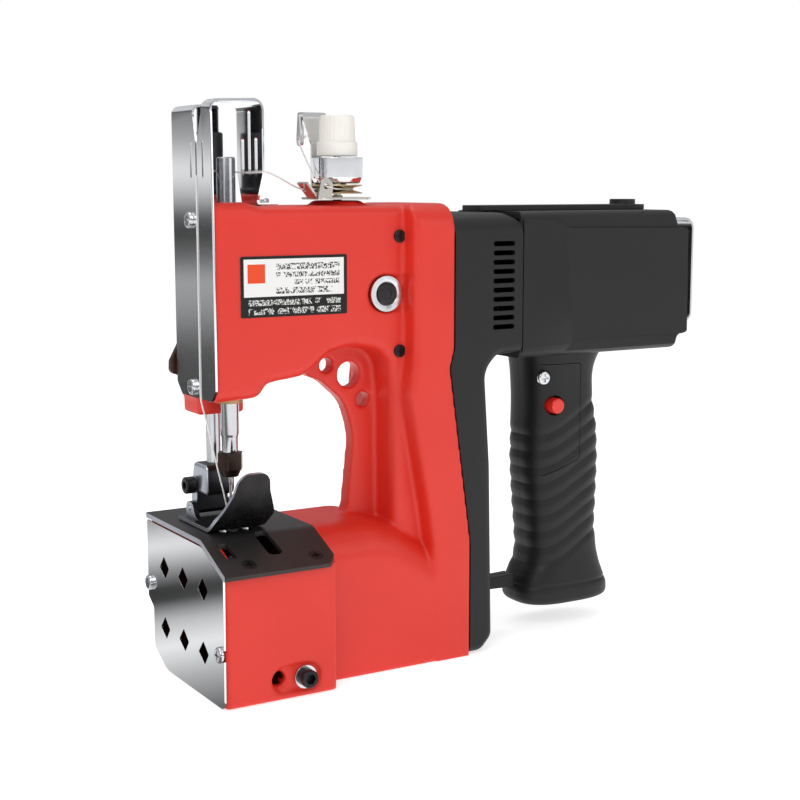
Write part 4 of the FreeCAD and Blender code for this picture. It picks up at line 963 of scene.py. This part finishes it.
@dataclass
class Grip(Assembly):
    """Grooved pistol grip: two halves and the switch panel let into the near one."""

    voxel: float = 0.8
    middle: float = 8.0
    squareness: float = 2.9
    points: int = 88
    pitch: float = 9.85
    grooves: int = 9
    first_groove: float = 118.0
    rise: float = 19.0
    depth: float = 1.05
    rim_high: float = 26.5
    rim_wide: float = 0.8
    rim_depth: float = 0.5
    panel: tuple = ((186, 161), (223.6, 161), (223.6, 103.2), (186, 90.0))
    panel_back: float = -7.6
    button_at: tuple = (205.3, 136.5)
    screw_at: tuple = (197.6, 153.4)
    sections: tuple = (
        (14.6, 192, 250, 19.0), (16, 189.5, 253, 21.2), (18, 188.3, 253.8, 22.0), (23, 188, 253.6, 22.0),
        (28, 189.5, 251.5, 21.4), (36, 193.5, 248, 20.5), (45, 196.5, 245.5, 19.6), (60, 195.5, 244, 19.5),
        (75, 194, 244.5, 20.0), (100, 192, 245.5, 20.0), (120, 192.5, 244.5, 20.0), (130, 193, 242.5, 20.0),
        (140, 193, 240.5, 19.6), (152, 192.3, 240, 19.6), (160, 191.5, 241.5, 20.0), (168, 190, 246, 21.0),
        (176, 187.5, 253, 22.5))

    def build(self) -> None:
        """Make the grip, cut the panel out of it and part it down the middle."""
        body = Shape().loft(self.rings()).remesh(self.voxel, 2).each_point(self.groove)
        low, high = -40.0, self.panel_back
        panel = body.copy().carve(self.outline(-0.15, low, high), keep=True)
        across, up = self.button_at
        panel.carve(self.drill(6.0, 30, (across, -30, up)))
        panel.carve(self.drill(4.9, 30, (self.screw_at[0], -39.05, self.screw_at[1])))
        settle(panel.piece("switch_panel_skin", BLACK_SMOOTH, 40), "switch_panel")
        body.carve(self.outline(0.2, low, high + 0.05))
        body.carve(self.drill(6.9, 11, (across, -11.5, up)))
        far = body.copy().halve((0, self.middle + 0.08, 0), (0, -1, 0))
        near = body.halve((0, self.middle - 0.08, 0), (0, 1, 0))
        settle(near.piece("grip_near", BLACK_NYLON, 40), "housing_near")
        settle(far.piece("grip_far", BLACK_NYLON, 40), "housing_far")

    def drill(self, radius: float, depth: float, start: Point) -> Shape:
        """Round tool along y for a hole."""
        return Shape().lathe([(0, 0), (radius, 0), (radius, depth), (0, depth)], start, (0, 1, 0))

    def outline(self, grow: float, low: float, high: float) -> Shape:
        """Block of the switch panel, grown or shrunk sideways."""
        left, right, top = self.panel[0][0], self.panel[1][0] + grow, self.panel[0][1] + grow
        return Shape().prism(((left, top), (right, top), (right, self.panel[2][1] - grow),
                              (left, self.panel[3][1] - grow)), low, high, 2.4)

    def size_at(self, up: float) -> tuple[float, float, float]:
        """Left edge, right edge and half width at a height, averaged over a few millimetres."""
        totals = [0.0, 0.0, 0.0]
        reach = (0.0,) if up < 24 else (-3.0, -1.5, 0.0, 1.5, 3.0)
        for shift in reach:
            level = min(max(up + shift, self.sections[0][0]), self.sections[-1][0])
            for before, after in zip(self.sections, self.sections[1:]):
                if before[0] <= level <= after[0]:
                    share = (level - before[0]) / (after[0] - before[0])
                    for index in range(3):
                        totals[index] += before[index + 1] + (after[index + 1] - before[index + 1]) * share
                    break
        return tuple(total / len(reach) for total in totals)

    def rings(self) -> list[list[Vector]]:
        """Rounded-square rings from the foot to the motor box."""
        low, high = self.sections[0][0], self.sections[-1][0]
        count = round((high - low) / 1.2)
        rings = []
        for level in range(count + 1):
            up = low + (high - low) * level / count
            left, right, half = self.size_at(up)
            ring = []
            for index in range(self.points):
                turn = 2 * math.pi * index / self.points
                cosine, sine = math.cos(turn), math.sin(turn)
                across = math.copysign(abs(cosine) ** (2 / self.squareness), cosine) * (right - left) / 2
                back = math.copysign(abs(sine) ** (2 / self.squareness), sine) * half
                ring.append(Vector(((left + right) / 2 + across, self.middle + back, up)) * MM)
            rings.append(ring)
        return rings

    def groove(self, spot: Vector, normal: Vector) -> Vector:
        """Sink a point into the nearest of the grooves, which climb from the left face to the right face."""
        left, right, _ = self.size_at(spot.z / MM)
        climb = self.rise * smooth_share((spot.x / MM - left) / (right - left))
        line = (self.first_groove + climb - spot.z / MM) / self.pitch
        inside = smooth_share((line + 0.55) / 0.4) * smooth_share((self.grooves - 0.45 - line) / 0.4)
        away = abs(line - round(line)) * 2
        sink = self.depth * (1 - away ** 0.55) * inside * (1 - smooth_share((abs(normal.z) - 0.5) / 0.3))
        rim = math.exp(-((spot.z / MM - self.rim_high) / self.rim_wide) ** 2) * self.rim_depth
        return spot - normal * (sink + rim) * MM


@dataclass
class Drive(Assembly):
    """Inner drive, which shows only through gaps."""

    def build(self) -> None:
        """Give each inner solid its finish."""
        self.dress(STEEL_PLAIN, "gear_plate", "upper_crankshaft", "lower_shaft", "reduction_layshaft",
                   "motor_armature", "motor_stator_and_coils")
        self.dress(STEEL_BRIGHT, "looper", "looper_pivot")
        self.dress(BRONZE, "shaft_bearings")
        self.dress(SOOT, "timing_belt")
        self.dress(CARBON, "carbon_brushes")
        self.dress(BLACK_SMOOTH, "upper_gear_pulley", "cooling_fan", "switch_body")


# ---- studio ----

@dataclass
class Studio:
    """Pale floor, soft lamps, dark cards for the chrome, and the camera."""

    camera_at: Point = (-0.3236, -0.7131, 0.2658)
    camera_turn: Point = (81.8, 0.0, -31.0)
    lens: float = 67.185
    ambient: float = 0.42
    glow: float = 0.62

    def build(self) -> None:
        """Make everything that isn't part of the machine."""
        scene = bpy.context.scene
        scene.view_settings.view_transform = "Standard"
        scene.view_settings.look = "None"
        self.camera(scene)
        self.floor()
        self.sky(scene)
        self.lamps()
        self.reflectors()

    def camera(self, scene: bpy.types.Scene) -> None:
        """Camera at the machine's front left."""
        data = bpy.data.cameras.new("camera")
        data.lens = self.lens
        data.sensor_width = 36.0
        data.clip_start = 0.01
        made = bpy.data.objects.new("camera", data)
        made.location = self.camera_at
        made.rotation_euler = [math.radians(angle) for angle in self.camera_turn]
        scene.collection.objects.link(made)
        scene.camera = made

    def floor(self) -> None:
        """Large pale floor under the machine."""
        shape = Shape()
        bmesh.ops.create_grid(shape.mesh, x_segments=1, y_segments=1, size=6.0)
        finish = bpy.data.materials.new("studio_floor")
        graph = Graph(finish)
        graph.surface({"Base Color": (0.93, 0.93, 0.93), "Roughness": 0.85, "Specular IOR Level": 0.1,
                       "Emission Color": (1.0, 1.0, 1.0), "Emission Strength": self.glow})
        data = shape.to_data("studio_floor")
        data.materials.append(finish)
        made = bpy.data.objects.new("studio_floor", data)
        bpy.context.scene.collection.objects.link(made)
        made.location.z = -0.2 * MM

    def sky(self, scene: bpy.types.Scene) -> None:
        """White to the eye, soft light from all round, graded with dark bands for mirrors."""
        world = bpy.data.worlds.new("studio")
        scene.world = world
        graph = Graph(world)
        heading = graph.add("ShaderNodeTexCoord", {}, {}, "Generated")
        _, _, up = graph.axes(heading)
        bands = graph.add("ShaderNodeValToRGB", {"stops": [
            (0.0, (0.9, 0.9, 0.9)), (0.47, (0.8, 0.8, 0.8)), (0.505, (0.95, 0.95, 0.96)),
            (0.53, (0.10, 0.10, 0.105)), (0.60, (0.10, 0.10, 0.105)), (0.66, (0.75, 0.75, 0.77)),
            (0.80, (0.30, 0.30, 0.31)), (0.90, (0.8, 0.8, 0.8))]}, {"Fac": up * 0.5 + 0.5}, "Color")
        path = graph.node("ShaderNodeLightPath", {}, {})
        glossy = Link(graph, path.outputs["Is Glossy Ray"])
        direct = Link(graph, path.outputs["Is Camera Ray"])
        soft = (self.ambient, self.ambient, self.ambient)
        shade = graph.blend(direct, graph.blend(glossy, soft, bands), (1.0, 1.0, 1.0))
        back = graph.add("ShaderNodeBackground", {}, {"Color": shade, "Strength": 1.0})
        graph.node("ShaderNodeOutputWorld", {}, {"Surface": back})

    def lamps(self) -> None:
        """Three large soft lamps."""
        for name, spot, power, sides in (("key", (-0.9, -1.0, 1.3), 8.8, (0.9, 0.9)),
                                         ("fill", (0.9, -1.3, 0.8), 3.0, (1.0, 0.8)),
                                         ("top", (0.1, 0.3, 1.4), 4.5, (1.0, 0.7))):
            data = bpy.data.lights.new(name, "AREA")
            data.energy = power
            data.shape = "RECTANGLE"
            data.size, data.size_y = sides
            made = bpy.data.objects.new(name, data)
            made.location = spot
            aim = Vector((0.1, 0.0, 0.12)) - Vector(spot)
            made.rotation_euler = aim.to_track_quat("-Z", "Y").to_euler()
            bpy.context.scene.collection.objects.link(made)

    def reflectors(self) -> None:
        """Graded cards that only mirrors see: one flat on the floor, one upright far behind the left side."""
        self.card("floor_card", (-0.62, -0.20, 0.0004), (0.60, 0.0, 0.0), (0.0, 0.66, 0.0), 1, (
            (-33, 0.16), (20, 0.50), (73, 0.95), (120, 0.60), (165, 0.05), (195, 0.04), (235, 0.30), (305, 0.92),
            (389, 0.35)))
        self.card("upright_card", (-0.462, 0.661, -0.05), (0.275, 0.119, 0.0), (0.0, 0.0, 0.46), 2, (
            (44, 0.06), (94, 0.09), (140, 0.32), (168, 0.42), (190, 0.16), (216, 0.03), (234, 0.08), (256, 0.55),
            (280, 0.95), (312, 0.42), (346, 0.20)))

    def card(self, name: str, corner: Point, across: Point, rise: Point, axis: int, grades: tuple) -> None:
        """Add one card whose tone follows one coordinate.

        Args:
            name: the card's name.
            corner: its first corner in metres.
            across: one side.
            rise: the other side.
            axis: 0, 1 or 2, the coordinate that sets the tone.
            grades: (millimetres along that axis, tone) pairs in rising order.
        """
        start, finish_at = Vector(corner), Vector(across) + Vector(rise)
        shape = Shape()
        spots = [start, start + Vector(across), start + finish_at, start + Vector(rise)]
        shape.mesh.faces.new([shape.mesh.verts.new(spot) for spot in spots])
        finish = bpy.data.materials.new(name)
        graph = Graph(finish)
        first, last = grades[0][0], grades[-1][0]
        run = (graph.axes()[axis] / MM - first) / (last - first)
        stops = [((place - first) / (last - first), (tone, tone, tone)) for place, tone in grades]
        tone = graph.add("ShaderNodeValToRGB", {"stops": stops}, {"Fac": run}, "Color")
        graph.surface({"Base Color": (0.0, 0.0, 0.0), "Roughness": 1.0, "Specular IOR Level": 0.0,
                       "Emission Color": tone, "Emission Strength": 1.0})
        data = shape.to_data(name)
        data.materials.append(finish)
        made = bpy.data.objects.new(name, data)
        made.visible_camera = False
        made.visible_diffuse = False
        made.visible_shadow = False
        made.visible_transmission = False
        bpy.context.scene.collection.objects.link(made)


def main() -> None:
    """Build the studio and every sub-assembly."""
    logging.basicConfig(level=logging.INFO, format="%(name)s: %(message)s")
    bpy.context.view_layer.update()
    Studio().build()
    for assembly in (CastFrame(), Base(), Head(), TensionUnit(), SewingThread(), Label(), Covers(), Grip(),
                     Drive()):
        LOG.info("building %s", type(assembly).__name__)
        assembly.build()
    bpy.context.view_layer.update()


if __name__ == "__main__":
    main()
